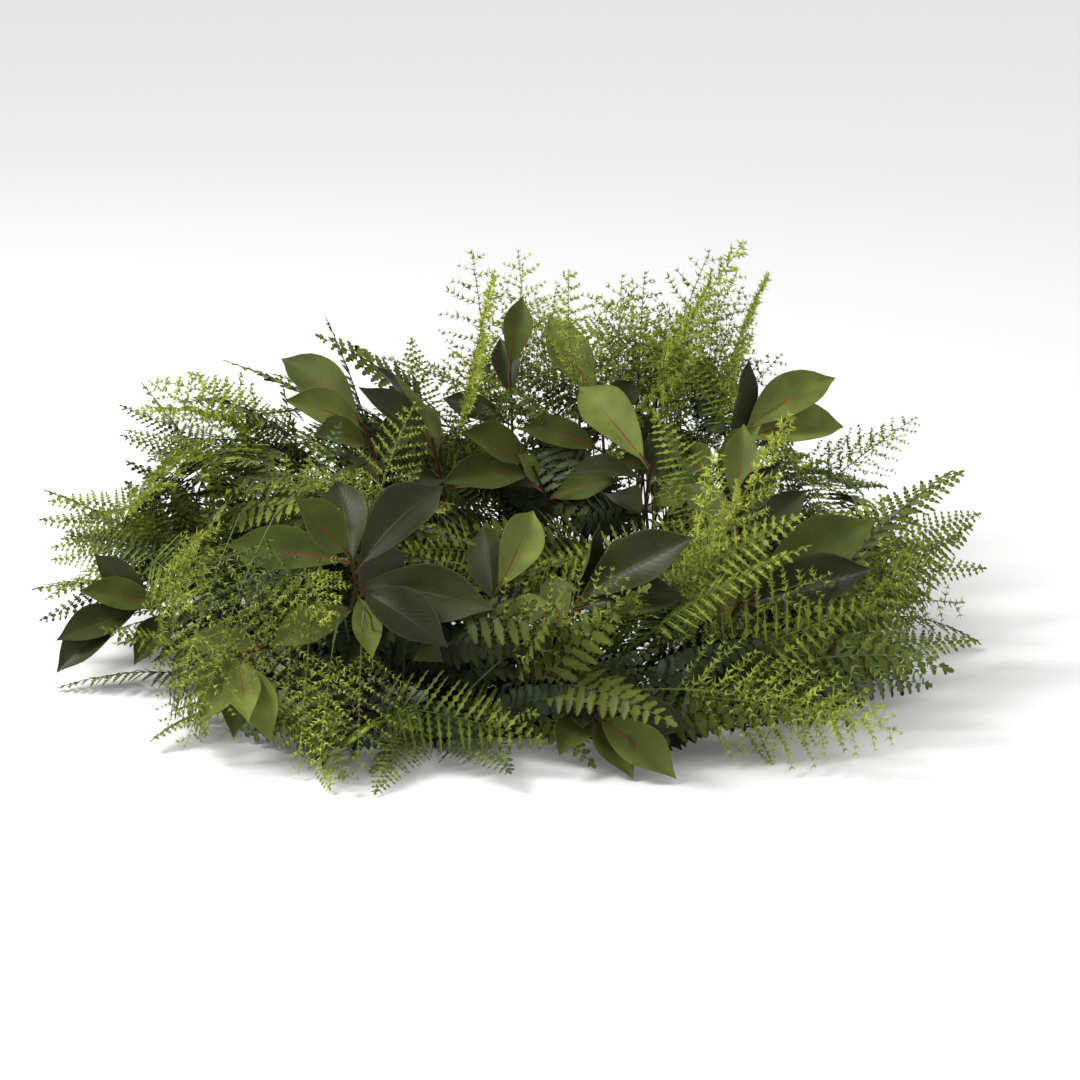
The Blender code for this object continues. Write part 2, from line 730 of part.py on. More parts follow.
def place_stem(placed, pick, owner):
    """The pick's stem, turned round the garland's stem until it is clear."""
    steps = range(PICK_STEPS + 1)
    taper = [1.0] + [1.0 - PICK_TAPER * step / PICK_STEPS for step in steps]
    for attempt in range(STEM_TRIES):
        lean = math.sqrt(attempt)
        clock = pick.clock + CLOCK_STEP * lean * math.cos(attempt * GOLDEN)
        swirl = pick.swirl + SWIRL_STEP * lean * math.sin(attempt * GOLDEN)
        line, around = pick_line(pick, clock, swirl)
        stem = tube(owner, line, PICK_THICKNESS, taper=taper)
        line = seated(stem, line, around)
        points, faces = points_and_faces(stem)
        if placed.is_clear(points, faces, owner):
            placed.add(points, faces, owner)
            return stem, line, around
        bpy.data.objects.remove(stem)
    return None


def points_and_faces(part):
    points = np.array([tuple(vert.co) for vert in part.data.vertices])
    return points, [tuple(face.vertices) for face in part.data.polygons]


def fuse(name, stem, pieces, group):
    """One solid from the pick's stem and everything that is sunk into it."""
    loose = bpy.data.collections.new(name + "_loose")
    bpy.context.scene.collection.children.link(loose)
    for mesh in pieces:
        loose.objects.link(bpy.data.objects.new(name + "_piece", mesh))
    bpy.context.scene.collection.objects.link(stem)
    union = stem.modifiers.new("join", "BOOLEAN")
    union.operation = "UNION"
    union.operand_type = "COLLECTION"
    union.collection = loose
    union.solver = SOLVER
    graph = bpy.context.evaluated_depsgraph_get()
    mesh = bpy.data.meshes.new_from_object(stem.evaluated_get(graph))
    mesh.name = name
    for part in [*loose.objects, stem]:
        bpy.data.objects.remove(part)
    bpy.data.collections.remove(loose)
    solid = bpy.data.objects.new(name, mesh)
    group.objects.link(solid)
    return solid


def make_pick(group, placed, template, pick, name, found):
    """One pick as one solid: its stem, and each leaf or frond that finds room."""
    stem, line, around = found
    rng = random.Random(f"{SEED} {name}")
    blades = pick_blades(rng, pick)
    pieces = []
    for blade in blades:
        start = blade_start(pick.kind, line, around, blade)
        spots = place_blade(placed, template, start, blade, name)
        if spots is None:
            continue
        placed.add(spots, template.faces, name, template.free_faces)
        mesh = template.mesh.copy()
        mesh.vertices.foreach_set("co", spots.astype(np.float32).ravel())
        pieces.append(mesh)
    solid = fuse(name, stem, pieces, group)
    print(name, len(pieces), "of", len(blades), len(solid.data.polygons))
    return solid


def fill_picks():
    """The ferns and plumes between the main picks, each where it is farthest from all."""
    rng = random.Random(SEED)
    picks = []
    middles = [pick_middle(pick) for pick in PICKS]
    for kind in FILL_KINDS:
        tries = [fill_pick(rng, kind) for _ in range(FILL_TRIES)]
        best = max(tries, key=lambda pick: gap_round(pick_middle(pick), middles))
        middles.append(pick_middle(best))
        picks.append(best)
    return picks


def fill_pick(rng, kind):
    """A pick at a random place on the stem, long enough to reach the garland's outline."""
    station = rng.uniform(0, 360)
    clock = rng.uniform(*FILL_CLOCKS)
    front = max(0.0, math.cos(math.radians(station - FRONT_STATION)))
    swirl = FILL_SWIRL + FRONT_SWIRL * front + rng.uniform(-FILL_SWIRL_OFF, FILL_SWIRL_OFF)
    room = room_at(station, clock) * math.sqrt(1 + swirl * swirl)
    length = min(LENGTHS[kind], FILL_SHARE * room)
    reach = max(FILL_LEAST, room - length)
    return Pick(kind, station, clock, swirl, reach, length / LENGTHS[kind])


def pick_middle(pick):
    """Where the leaves or fronds of a pick are, roughly."""
    turn = math.radians(pick.clock)
    around = direction(pick.station, 0) * math.cos(turn) + Vector((0, 0, math.sin(turn)))
    lean = (around + direction(pick.station + 90, 0) * pick.swirl).normalized()
    length = LENGTHS[pick.kind] * pick.size
    return ring_point(pick.station) + lean * (pick.reach + length / 2)


def gap_round(spot, others):
    return min((spot - other).length for other in others)


def room_at(station, clock):
    """How far the garland reaches from its stem at a clock angle."""
    turn = math.radians(clock)
    wider = WIDER * math.cos(math.radians(2 * station))
    sideways = OUTWARD_REACH + wider if math.cos(turn) > 0 else INWARD_REACH
    return 1 / math.hypot(math.cos(turn) / sideways, math.sin(turn) / UPWARD_REACH)


def clear_scene():
    for part in list(bpy.data.objects):
        bpy.data.objects.remove(part)


def make_material(name, colour, roughness):
    made = bpy.data.materials.new(name)
    made.use_nodes = True
    shader = made.node_tree.nodes["Principled BSDF"]
    shader.inputs["Base Color"].default_value = (*colour, 1.0)
    shader.inputs["Roughness"].default_value = roughness
    return made


def stand_on_centre(parts):
    """Moves everything so that the origin is under the middle of the whole garland."""
    points = np.concatenate([points_and_faces(part)[0] for part in parts])
    low, high = points.min(axis=0), points.max(axis=0)
    middle = (low + high) / 2
    shift = Matrix.Translation((-middle[0], -middle[1], -low[2]))
    for part in parts:
        part.data.transform(shift)


def main():
    clear_scene()
    group = bpy.data.collections.new("greenery_garland")
    bpy.context.scene.collection.children.link(group)
    looks = {
        "stem": make_material("stem_tape", (0.10, 0.11, 0.04), 0.7),
        "laurel": make_material("laurel_green", (0.06, 0.09, 0.03), 0.4),
        "lace": make_material("lace_fern_green", (0.16, 0.24, 0.05), 0.6),
        "scallop": make_material("scalloped_fern_green", (0.09, 0.15, 0.03), 0.6),
        "plume": make_material("asparagus_green", (0.20, 0.28, 0.07), 0.6),
    }
    templates = {
        "laurel": laurel_leaf_mesh(),
        "lace": frond_mesh("lace_frond", **FRONDS["lace"]),
        "scallop": frond_mesh("scallop_frond", **FRONDS["scallop"]),
        "plume": plume_mesh(),
    }
    placed = Placed()
    parts = [make_stem(group), make_tie(group)]
    for part in parts:
        part.data.materials.append(looks["stem"])
        placed.add(*points_and_faces(part), part.name)
    counts = dict.fromkeys(LENGTHS, 0)
    stems = []
    for pick in PICKS + fill_picks():
        counts[pick.kind] += 1
        name = f"{pick.kind}_pick_{counts[pick.kind]:02d}"
        found = place_stem(placed, pick, name)
        if found is None:
            print("NO ROOM", name)
            continue
        stems.append((pick, name, found))
    for pick, name, found in stems:
        solid = make_pick(group, placed, templates[pick.kind], pick, name, found)
        solid.data.materials.clear()
        solid.data.materials.append(looks[pick.kind])
        parts.append(solid)
    stand_on_centre(parts)


main()
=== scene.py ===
import random
from math import atan2, ceil, copysign, cos, degrees, exp, hypot, pi, radians, sin, sqrt

import bmesh
import bpy
import numpy as np
from mathutils import Matrix, Vector
from mathutils.bvhtree import BVHTree
from mathutils.kdtree import KDTree


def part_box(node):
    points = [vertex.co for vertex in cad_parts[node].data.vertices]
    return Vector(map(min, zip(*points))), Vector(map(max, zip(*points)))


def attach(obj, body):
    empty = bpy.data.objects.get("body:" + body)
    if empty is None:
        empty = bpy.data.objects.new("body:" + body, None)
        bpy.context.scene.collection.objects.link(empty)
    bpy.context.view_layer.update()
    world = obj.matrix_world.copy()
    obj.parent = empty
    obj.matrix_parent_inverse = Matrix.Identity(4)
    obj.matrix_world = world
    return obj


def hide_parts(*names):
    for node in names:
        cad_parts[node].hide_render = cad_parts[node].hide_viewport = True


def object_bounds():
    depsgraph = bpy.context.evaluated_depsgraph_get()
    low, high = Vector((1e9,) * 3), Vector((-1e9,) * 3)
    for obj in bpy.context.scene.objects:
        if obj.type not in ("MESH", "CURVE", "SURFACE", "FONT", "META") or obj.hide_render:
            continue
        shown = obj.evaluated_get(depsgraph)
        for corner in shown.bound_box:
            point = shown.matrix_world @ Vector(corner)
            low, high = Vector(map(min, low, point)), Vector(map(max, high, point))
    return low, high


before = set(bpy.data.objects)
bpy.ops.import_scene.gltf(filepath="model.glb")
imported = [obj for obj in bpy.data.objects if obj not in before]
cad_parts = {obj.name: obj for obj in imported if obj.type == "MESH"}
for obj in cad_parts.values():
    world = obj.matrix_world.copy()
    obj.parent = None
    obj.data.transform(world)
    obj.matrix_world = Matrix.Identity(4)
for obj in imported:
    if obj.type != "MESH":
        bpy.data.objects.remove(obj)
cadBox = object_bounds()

# The garland's layout. It is the rule that the part itself was laid out by, so that every
# fine leaf and frond finds the place that its plain one has there.
layout = dict(
    seed=41, ringRadius=0.275, stemThickness=0.012, stemSides=8, stemStep=12.0, overlapStart=225.0,
    overlapTurn=24.0, tailSide=45.0, clear=0.0004, holeRadius=0.118, outwardReach=0.165,
    rounder=0.025, inwardReach=0.140, upwardReach=0.235, footLength=0.014, pickThickness=0.004,
    pickSteps=2, pickTaper=0.25, pickBend=0.4, rootDepth=0.002, growSteps=8,
    golden=radians(137.508), bendTries=90, bendStep=radians(3.4), bendShrink=0.004, stemTries=120,
    clockStep=3.5, swirlStep=0.06, setDown=0.30, setFacing=(270, 40),
    fillKinds=(["lace", "scallop", "plume", "lace", "scallop"] * 4)[:19], fillTries=80,
    fillClock=(2, 165), fillSwirl=(0.35, 0.6, 0.15), fillLength=0.76, fillReach=0.02,
    sameSpot=0.00006, tieWire=0.002, offCorner=0.3, fillFront=300)
lengths = dict(laurel=0.115, lace=0.195, scallop=0.170, plume=0.200)
counts = dict(laurel=6, lace=4, scallop=3, plume=2)


def pick(kind, station, clock, swirl, reach, size=1.0, aim=None, count=None, leaves=()):
    count = len(leaves) or count or counts[kind]
    return dict(kind=kind, station=station, clock=clock, swirl=swirl, reach=reach,
                size=size, aim=aim, count=count, leaves=leaves)


# The main picks: station round the ring, clock round the stem, swirl along it and reach of the twig,
# then size, aim of its tip and number of blades. All but the last two laurel picks have their leaves
# listed one by one: compass, rise, length in millimetres, the side that shows, and any roll.
# The middle one of these shows a leaf's lower side at its darkest tints, as painted shade on an
# underside.
pale, olive, dark = "pale", "olive", "dark"
laurelPicks = [
    ((240, 73, 0.08, 0.170), (262, 42), [
        (235, 45, 105, olive), (167, 10, 120, olive), (102, 35, 112, dark), (40, 42, 130, dark),
        (345, 0, 135, dark, 20), (315, -5, 115, dark), (285, -28, 70, pale), (72, 24, 105, dark),
        (215, -5, 95, pale)]),
    ((312, 86, 0.40, 0.098), (10, 40), [
        (356, 38, 150, olive), (342, 26, 140, dark), (42, 28, 95, olive), (75, 38, 85, pale, 45),
        (322, 4, 75, pale, 60), (80, 58, 90, olive)]),
    ((280, 104, 0.15, 0.112), (20, 50), [
        (342, 40, 130, dark), (335, 20, 110, dark), (48, 34, 115, pale, 55), (66, 50, 110, dark, 65),
        (100, 48, 75, olive), (200, 14, 90, dark)]),
    ((262, 114, 0.06, 0.120), (60, 55), [
        (60, 42, 108, pale, 20), (84, 40, 105, dark, -35), (314, 10, 85, pale), (155, 34, 100, dark),
        (225, 12, 90, olive)]),
    ((75, 118, -0.60, 0.180), (120, 50), [
        (138, 46, 135, pale), (205, 22, 95, dark, 30), (64, 52, 95, dark), (330, 30, 90, olive),
        (100, 12, 100, dark)]),
    ((78, 102, -0.25, 0.190), (120, 50), [
        (132, 47, 118, pale), (104, 42, 90, dark, 50), (60, 45, 95, dark), (182, 26, 95, olive),
        (20, 20, 95, olive)]),
    ((42, 87, -0.20, 0.178), (30, 30), [
        (28, 28, 128, pale), (16, 14, 130, pale), (68, 58, 105, dark, 55), (305, -32, 75, pale, 60),
        (22, -40, 90, olive), (312, 55, 85, pale), (110, 30, 100, olive)]),
    ((132, 107, 0.12, 0.202), (150, 38), [
        (148, 36, 122, olive), (212, 34, 105, pale), (236, 24, 100, olive), (215, -20, 85, olive, 50),
        (60, 40, 100, dark), (105, 12, 100, olive)]),
    ((118, 115, -0.04, 0.184), (160, 40), [
        (134, 44, 112, olive, 65), (195, 46, 115, dark, 25), (112, 26, 115, olive), (252, 16, 95, dark),
        (22, 24, 100, olive)]),
    ((95, 128, -0.18, 0.178), (205, 25), [
        (213, 34, 105, olive), (207, 8, 112, olive), (240, 42, 65, pale), (152, 22, 100, dark),
        (325, 24, 95, olive)]),
    ((236, 38, 0.12, 0.142), (250, -35), [
        (300, -30, 92, pale), (277, -30, 88, pale), (238, -26, 85, pale), (256, -42, 85, olive),
        (214, -16, 75, pale), (185, 12, 75, pale)]),
    ((197, 30, -0.20, 0.122), (198, -25), [
        (222, -22, 100, dark), (204, -8, 95, dark), (165, 40, 80, dark), (188, 14, 90, olive),
        (245, -14, 85, dark)]),
    ((90, 88, 0.05, 0.215), (95, 76), [
        (75, 62, 88, olive, 25), (102, 46, 80, dark), (160, 24, 85, dark), (240, 30, 80, olive)]),
    ((284, 26, 0.10, 0.080), (300, -8), [
        (313, -14, 105, pale), (290, -14, 85, olive), (335, 6, 100, dark), (255, -10, 85, olive),
        (270, 14, 75, dark)]),
    ((350, 112, 0.25, 0.150), (75, 45), [
        (75, 62, 90, pale), (318, 58, 85, dark), (122, 30, 95, olive), (30, 36, 95, dark),
        (205, 20, 85, olive)]),
    ((58, 24, 0.30, 0.110), (85, 8), []),
    ((148, 24, 0.30, 0.110), (165, 8), []),
]
otherPicks = dict(
    lace=[(165, 48, 0.25, 0.070), (173, 30, 0.40, 0.070), (152, 62, 0.25, 0.085),
        (205, 4, -0.15, 0.030, 0.85), (345, 30, 0.58, 0.080), (328, 18, 0.90, 0.060, 0.85),
        (8, 50, 0.30, 0.060), (244, 4, 0.35, 0.030, 0.85), (256, 8, 0.55, 0.030, 0.85),
        (120, 86, 0.05, 0.110, 0.95)],
    plume=[(74, 90, 0.05, 0.185, 1.10, None, 3), (66, 86, -0.15, 0.180, 1.15, None, 3),
        (52, 76, -0.10, 0.130, 1.10), (106, 92, -0.15, 0.130, 1.05),
        (228, 66, -0.20, 0.190, 0.95, (250, -20)), (228, 108, 0.10, 0.170, 0.65, (60, 70)),
        (300, 100, 0.50, 0.120, 0.95, (20, 45)), (288, 40, 1.00, 0.110, 1.05, (10, -5)),
        (290, 10, 1.05, 0.090, 1.05, (340, -6))],
    scallop=[(262, 50, 0.60, 0.090, 1.00, (320, -12)), (304, 40, 0.90, 0.100, 1.00, (5, 5)),
        (96, 130, 0.30, 0.090, 0.85, (200, 10))])
mainPicks = [pick("laurel", *place, aim=aim, leaves=leaves) for place, aim, leaves in laurelPicks]
mainPicks += [pick(kind, *row) for kind, rows in otherPicks.items() for row in rows]


def direction(compass, rise):
    flat, angle = cos(radians(rise)), radians(compass)
    return Vector((flat * cos(angle), flat * sin(angle), sin(radians(rise))))


def ringPoint(station, radius=layout["ringRadius"], height=0.0):
    return direction(station, 0) * radius + Vector((0, 0, height))


def stemFlat():
    return layout["stemThickness"] / 2 * cos(pi / layout["stemSides"])


def stemCorner(step):
    run = layout["stemStep"] * step
    turn = layout["overlapTurn"]
    beside = 2 * stemFlat() + layout["clear"]
    share = min(1.0, max(0.0, (run - 360.0) / turn + 1.0))
    tied = run <= turn or run >= 360.0
    lift = layout["tieWire"] + 2 * layout["clear"] if tied else 0.0
    radius = layout["ringRadius"] + beside * share
    return ringPoint(layout["overlapStart"] + run, radius, stemFlat() + lift)


def strandAt(station, outermost):
    run = (station - layout["overlapStart"]) % 360.0
    if outermost and run < layout["overlapTurn"]:
        run += 360.0
    step = int(run // layout["stemStep"])
    share = run / layout["stemStep"] - step
    share = min(1 - layout["offCorner"], max(layout["offCorner"], share))
    start, end = stemCorner(step), stemCorner(step + 1)
    return start.lerp(end, share), (end - start).normalized()


def about(rng, spread):
    return rng.uniform(-spread, spread)


def linked(name, data):
    made = bpy.data.objects.new(name, data)
    bpy.context.scene.collection.objects.link(made)
    return made


def tubeMesh(name, points, thickness, resolution=0, tilt=0.0, taper=None, twist="MINIMUM"):
    curve = bpy.data.curves.new(name, "CURVE")
    curve.dimensions = "3D"
    curve.twist_mode = twist
    curve.bevel_depth = thickness / 2
    curve.bevel_resolution = resolution
    curve.use_fill_caps = True
    spline = curve.splines.new("POLY")
    spline.points.add(len(points) - 1)
    for index, (spot, point) in enumerate(zip(spline.points, points)):
        spot.co = (*point, 1.0)
        spot.tilt = tilt
        spot.radius = taper[index] if taper else 1.0
    guide = linked(name + "_guide", curve)
    graph = bpy.context.evaluated_depsgraph_get()
    mesh = bpy.data.meshes.new_from_object(guide.evaluated_get(graph))
    bpy.data.objects.remove(guide)
    bpy.data.curves.remove(curve)
    bm = bmesh.new()
    bm.from_mesh(mesh)
    bmesh.ops.remove_doubles(bm, verts=bm.verts, dist=1e-6)
    bmesh.ops.recalc_face_normals(bm, faces=bm.faces)
    bm.to_mesh(mesh)
    bm.free()
    return mesh


def pointsOf(mesh):
    points = np.empty(len(mesh.vertices) * 3, np.float32)
    mesh.vertices.foreach_get("co", points)
    return points.reshape(-1, 3).astype(float)


def stemPoints():
    steps = round((360.0 + layout["overlapTurn"]) / layout["stemStep"])
    return [stemCorner(step) for step in range(steps + 1)]


# From the ring's own frame to the part's: the part stands on the middle of its box
plainStem = tubeMesh("plainStem", stemPoints(), layout["stemThickness"], 2,
                     pi / layout["stemSides"], twist="Z_UP")
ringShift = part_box("garland_stem")[0] - Vector(pointsOf(plainStem).min(axis=0))
print("ring shift", [round(value, 5) for value in ringShift])


def stemSurface(clock):
    flat = 360.0 / layout["stemSides"]
    offCorner = (clock + flat / 2) % flat - flat / 2
    return layout["stemThickness"] / 2 * cos(radians(flat / 2 - abs(offCorner)))


def pickLine(row, clock, swirl):
    strand, along = strandAt(row["station"], clock < layout["tailSide"])
    turn = radians(clock)
    around = along.cross(Vector((0, 0, 1))) * cos(turn) + Vector((0, 0, sin(turn)))
    lean = (around + along * swirl).normalized()
    foot = strand + around * (stemSurface(clock) + layout["clear"])
    head = foot + lean * row["reach"]
    aim = direction(*row["aim"]) if row["aim"] else lean
    middle = head - aim * (layout["pickBend"] * row["reach"])
    points = [foot - along * (layout["footLength"] * copysign(1.0, swirl))]
    for step in range(layout["pickSteps"] + 1):
        t = step / layout["pickSteps"]
        points.append(foot * (1 - t) ** 2 + middle * (2 * t * (1 - t)) + head * t * t)
    return points, around


def nodeTree(node):
    spots = pointsOf(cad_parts[node].data) - np.array(ringShift)
    tree = KDTree(len(spots))
    for index, spot in enumerate(spots):
        tree.insert(spot, index)
    tree.balance()
    return tree


pickTapers = [1.0] + [1.0 - layout["pickTaper"] * step / layout["pickSteps"]
                      for step in range(layout["pickSteps"] + 1)]


def findLine(row, name, tree):
    for attempt in range(layout["stemTries"]):
        lean = sqrt(attempt)
        turn = attempt * layout["golden"]
        clock = row["clock"] + layout["clockStep"] * lean * cos(turn)
        swirl = row["swirl"] + layout["swirlStep"] * lean * sin(turn)
        line, around = pickLine(row, clock, swirl)
        mesh = tubeMesh(name, line, layout["pickThickness"], taper=pickTapers)
        corners = [vert.co.copy() for vert in mesh.vertices]
        bpy.data.meshes.remove(mesh)
        near = layout["pickThickness"]
        foot = [corner for corner in corners if (corner - line[0]).length < near]
        bend = [corner for corner in corners if (corner - line[1]).length < near]
        sunk = max((line[0] - corner).dot(around) for corner in foot)
        move = around * sunk
        gaps = [tree.find(corner + move)[2] for corner in foot + bend]
        if sum(gap < layout["sameSpot"] for gap in gaps) >= len(foot) + 2:
            return [point + move for point in line], around


# How the blades stand on a twig, from its tip down
growth = dict(
    laurel=dict(down=0.45, turn=14, opening=(14.0, 66.0), openingPower=0.7, about=7,
        size=(0.85, 1.08), droop=(0.05, 0.35), curl=(-0.5, 0.2), roll=20),
    frond=dict(down=0.22, turn=25, opening=(26, 46), firstOpening=(0, 8), size=(0.75, 0.95),
        droop=(0.2, 0.7), curl=(-0.35, 0.1), roll=25))


def bending(rng, look):
    return dict(droop=rng.uniform(*look["droop"]), curl=rng.uniform(*look["curl"]),
                roll=about(rng, look["roll"]))


def leafBlades(rng, row):
    look = growth["laurel"]
    near, wide = look["opening"]
    start = rng.uniform(0, 360)
    blades = []
    for n in range(row["count"]):
        share = n / (row["count"] - 1)
        blades.append(dict(
            place=1.0 - look["down"] * share,
            azimuth=start + n * degrees(layout["golden"]) + about(rng, look["turn"]),
            opening=near + (wide - near) * share**look["openingPower"] + about(rng, look["about"]),
            length=lengths["laurel"] * row["size"] * rng.uniform(*look["size"]),
            **bending(rng, look)))
    return blades


def setBlades(rng, row):
    last = len(row["leaves"]) - 1
    blades = leafBlades(rng, row)
    for n, (compass, rise, length, side, *roll) in enumerate(row["leaves"]):
        blades[n].update(place=1.0 - layout["setDown"] * n / last, aim=(compass, rise),
                         length=length / 1000, roll=sum(roll), side=side)
    return blades


def frondBlades(rng, row):
    look = growth["frond"]
    start = rng.uniform(0, 360)
    blades = []
    for n in range(row["count"]):
        shrink = rng.uniform(*look["size"]) if n else 1.0
        blades.append(dict(
            place=1.0 - look["down"] * n,
            azimuth=start + n * 360 / max(1, row["count"] - 1) + about(rng, look["turn"]),
            opening=rng.uniform(*look["opening" if n else "firstOpening"]),
            length=lengths[row["kind"]] * row["size"] * shrink,
            **bending(rng, look)))
    return blades


def pickBlades(rng, row):
    if row["leaves"]:
        return setBlades(rng, row)
    return leafBlades(rng, row) if row["kind"] == "laurel" else frondBlades(rng, row)


def pointOn(points, place):
    at = place * (len(points) - 1)
    index = min(int(at), len(points) - 2)
    tangent = (points[index + 1] - points[index]).normalized()
    return points[index].lerp(points[index + 1], at - index), tangent


# Which way a blade that isn't listed leans and faces
fanning = dict(outwards=0.6, upwards=0.55, alongTwig=0.8, toSky=0.5, upright=0.05)


def fanned(kind, tangent, around, blade):
    sky = (around * fanning["outwards"] + Vector((0, 0, fanning["upwards"]))).normalized()
    side = sky.cross(tangent)
    if side.length < fanning["upright"]:
        side = tangent.orthogonal()
    side = Matrix.Rotation(radians(blade["azimuth"]), 3, tangent) @ side.normalized()
    opening = radians(blade["opening"])
    heading = tangent * cos(opening) + side * sin(opening)
    if kind != "laurel":
        return heading, sky
    return heading, tangent * fanning["alongTwig"] + sky * fanning["toSky"]


def bladeStart(kind, points, around, blade):
    root, tangent = pointOn(points, blade["place"])
    if "aim" in blade:
        heading, face = direction(*blade["aim"]), direction(*layout["setFacing"])
    else:
        heading, face = fanned(kind, tangent, around, blade)
    face = (face - heading * face.dot(heading)).normalized()
    face = Matrix.Rotation(radians(blade["roll"]), 3, heading) @ face
    return root - tangent * layout["rootDepth"], heading, face


def bent(heading, face, attempt):
    across = heading.cross(face)
    turn = attempt * layout["golden"]
    axis = face * cos(turn) + across * sin(turn)
    turned = Matrix.Rotation(layout["bendStep"] * sqrt(attempt), 3, axis)
    return turned @ heading, turned @ face


def grow(root, heading, normal, length, droop, curl):
    rows = []
    steps = layout["growSteps"]
    spot = root.copy()
    for _ in range(steps + 1):
        normal = (normal - heading * normal.dot(heading)).normalized()
        rows.append((*spot, *heading, *normal))
        spot = spot + heading * (length / steps)
        turn = normal * curl - Vector((0, 0, droop))
        heading = (heading + turn / steps).normalized()
    return np.array(rows)


def layAlong(flat, rows, length):
    marks = np.linspace(0, 1, layout["growSteps"] + 1)
    line = np.stack([np.interp(flat[:, 1], marks, rows[:, n]) for n in range(9)], axis=1)
    spots, headings, normals = line[:, :3], line[:, 3:6], line[:, 6:]
    across = np.cross(headings, normals)
    return spots + (across * flat[:, :1] + normals * flat[:, 2:]) * length


def findBlade(start, blade, tree):
    root, heading, face = start
    for attempt in range(layout["bendTries"]):
        length = blade["length"] * (1 - layout["bendShrink"] * attempt)
        aim, normal = bent(heading, face, attempt)
        rows = grow(root, aim, normal, length, blade["droop"], blade["curl"])
        if tree.find(rows[-1][:3])[2] < layout["sameSpot"]:
            return rows, length


def roomAt(station, clock):
    turn = radians(clock)
    wider = layout["rounder"] * cos(radians(2 * station))
    sideways = layout["outwardReach"] + wider if cos(turn) > 0 else layout["inwardReach"]
    return 1 / hypot(cos(turn) / sideways, sin(turn) / layout["upwardReach"])


def outwardsAt(station, turn):
    return direction(station, 0) * cos(turn) + Vector((0, 0, sin(turn)))


def pickMiddle(row):
    around = outwardsAt(row["station"], radians(row["clock"]))
    lean = (around + direction(row["station"] + 90, 0) * row["swirl"]).normalized()
    length = lengths[row["kind"]] * row["size"]
    return ringPoint(row["station"]) + lean * (row["reach"] + length / 2)


def fillPick(rng, kind):
    station = rng.uniform(0, 360)
    clock = rng.uniform(*layout["fillClock"])
    front = max(0.0, cos(radians(station - layout["fillFront"])))
    least, more, spread = layout["fillSwirl"]
    swirl = least + more * front + about(rng, spread)
    room = roomAt(station, clock) * sqrt(1 + swirl * swirl)
    length = min(lengths[kind], layout["fillLength"] * room)
    reach = max(layout["fillReach"], room - length)
    return pick(kind, station, clock, swirl, reach, length / lengths[kind])


def fillPicks():
    rng = random.Random(layout["seed"])
    rows = []
    middles = [pickMiddle(row) for row in mainPicks]
    for kind in layout["fillKinds"]:
        tries = [fillPick(rng, kind) for _ in range(layout["fillTries"])]
        best = max(tries, key=lambda row: min((pickMiddle(row) - m).length for m in middles))
        middles.append(pickMiddle(best))
        rows.append(best)
    return rows


# Finds every pick's stem, leaves and fronds in the part
def findPicks():
    numbers = dict.fromkeys(lengths, 0)
    found = []
    for row in mainPicks + fillPicks():
        numbers[row["kind"]] += 1
        name = f"{row['kind']}_pick_{numbers[row['kind']]:02d}"
        tree = nodeTree(name)
        line, around = findLine(row, name, tree)
        grown = []
        for blade in pickBlades(random.Random(f"{layout['seed']} {name}"), row):
            match = findBlade(bladeStart(row["kind"], line, around, blade), blade, tree)
            if match:
                grown.append((*match, blade.get("side")))
        found.append(dict(row, name=name, line=line, grown=grown))
    return found


picks = findPicks()
print("picks found", len(picks), "blades", sum(len(row["grown"]) for row in picks))


# The fine leaves and fronds. Each is shaped flat, with a length of 1 along +Y and its upper
# side up, and is laid along the line that its plain one grew along.
mapName, alongName, tintName = "bladeMap", "alongBlade", "bladeTint"
bladeSlot, twigSlot, underSlot = 0, 1, 2
weldGap = 1e-5
sharpAngle = radians(50)


def newShape():
    bm = bmesh.new()
    bm.loops.layers.uv.new(mapName)
    bm.verts.layers.float.new(alongName)
    return bm


def mapBlade(bm, place):
    bladeMap = bm.loops.layers.uv[mapName]
    for face in bm.faces:
        for loop in face.loops:
            loop[bladeMap].uv = place(loop.vert.co)


def toMesh(bm, name):
    mesh = bpy.data.meshes.new(name)
    bm.to_mesh(mesh)
    bm.free()
    return mesh


def addCopy(bm, mesh, matrix):
    before = len(bm.verts)
    bm.from_mesh(mesh)
    bm.verts.ensure_lookup_table()
    bmesh.ops.transform(bm, matrix=matrix, verts=bm.verts[before:])


def cutAcross(bm, normal, distance):
    everything = bm.verts[:] + bm.edges[:] + bm.faces[:]
    bmesh.ops.bisect_plane(bm, geom=everything, plane_co=Vector(normal) * distance,
                           plane_no=normal, dist=1e-7)


def pointedAlong(root, heading, reach):
    turn = Vector((0, 1, 0)).rotation_difference(heading).to_matrix().to_4x4()
    return Matrix.Translation(root) @ turn @ Matrix.Diagonal((1, reach, 1, 1))


def rodMesh(thick, thin, start, end, sides, cuts):
    bm = newShape()
    bmesh.ops.create_cone(bm, cap_ends=True, segments=sides, radius1=thick, radius2=thin,
                          depth=end - start)
    bmesh.ops.rotate(bm, verts=bm.verts, matrix=Matrix.Rotation(-pi / 2, 3, "X"))
    bmesh.ops.translate(bm, verts=bm.verts, vec=(0, (start + end) / 2, 0))
    for cut in range(1, cuts):
        cutAcross(bm, (0, 1, 0), start + (end - start) * cut / cuts)
    for face in bm.faces:
        face.material_index = twigSlot
    return toMesh(bm, "rod")


def template(bm, name):
    bmesh.ops.triangulate(bm, faces=bm.faces)
    bmesh.ops.recalc_face_normals(bm, faces=bm.faces)
    along = bm.verts.layers.float[alongName]
    for vert in bm.verts:
        vert[along] = min(1.0, max(0.0, vert.co.y))
    mesh = toMesh(bm, name)
    return dict(mesh=mesh, flat=pointsOf(mesh))


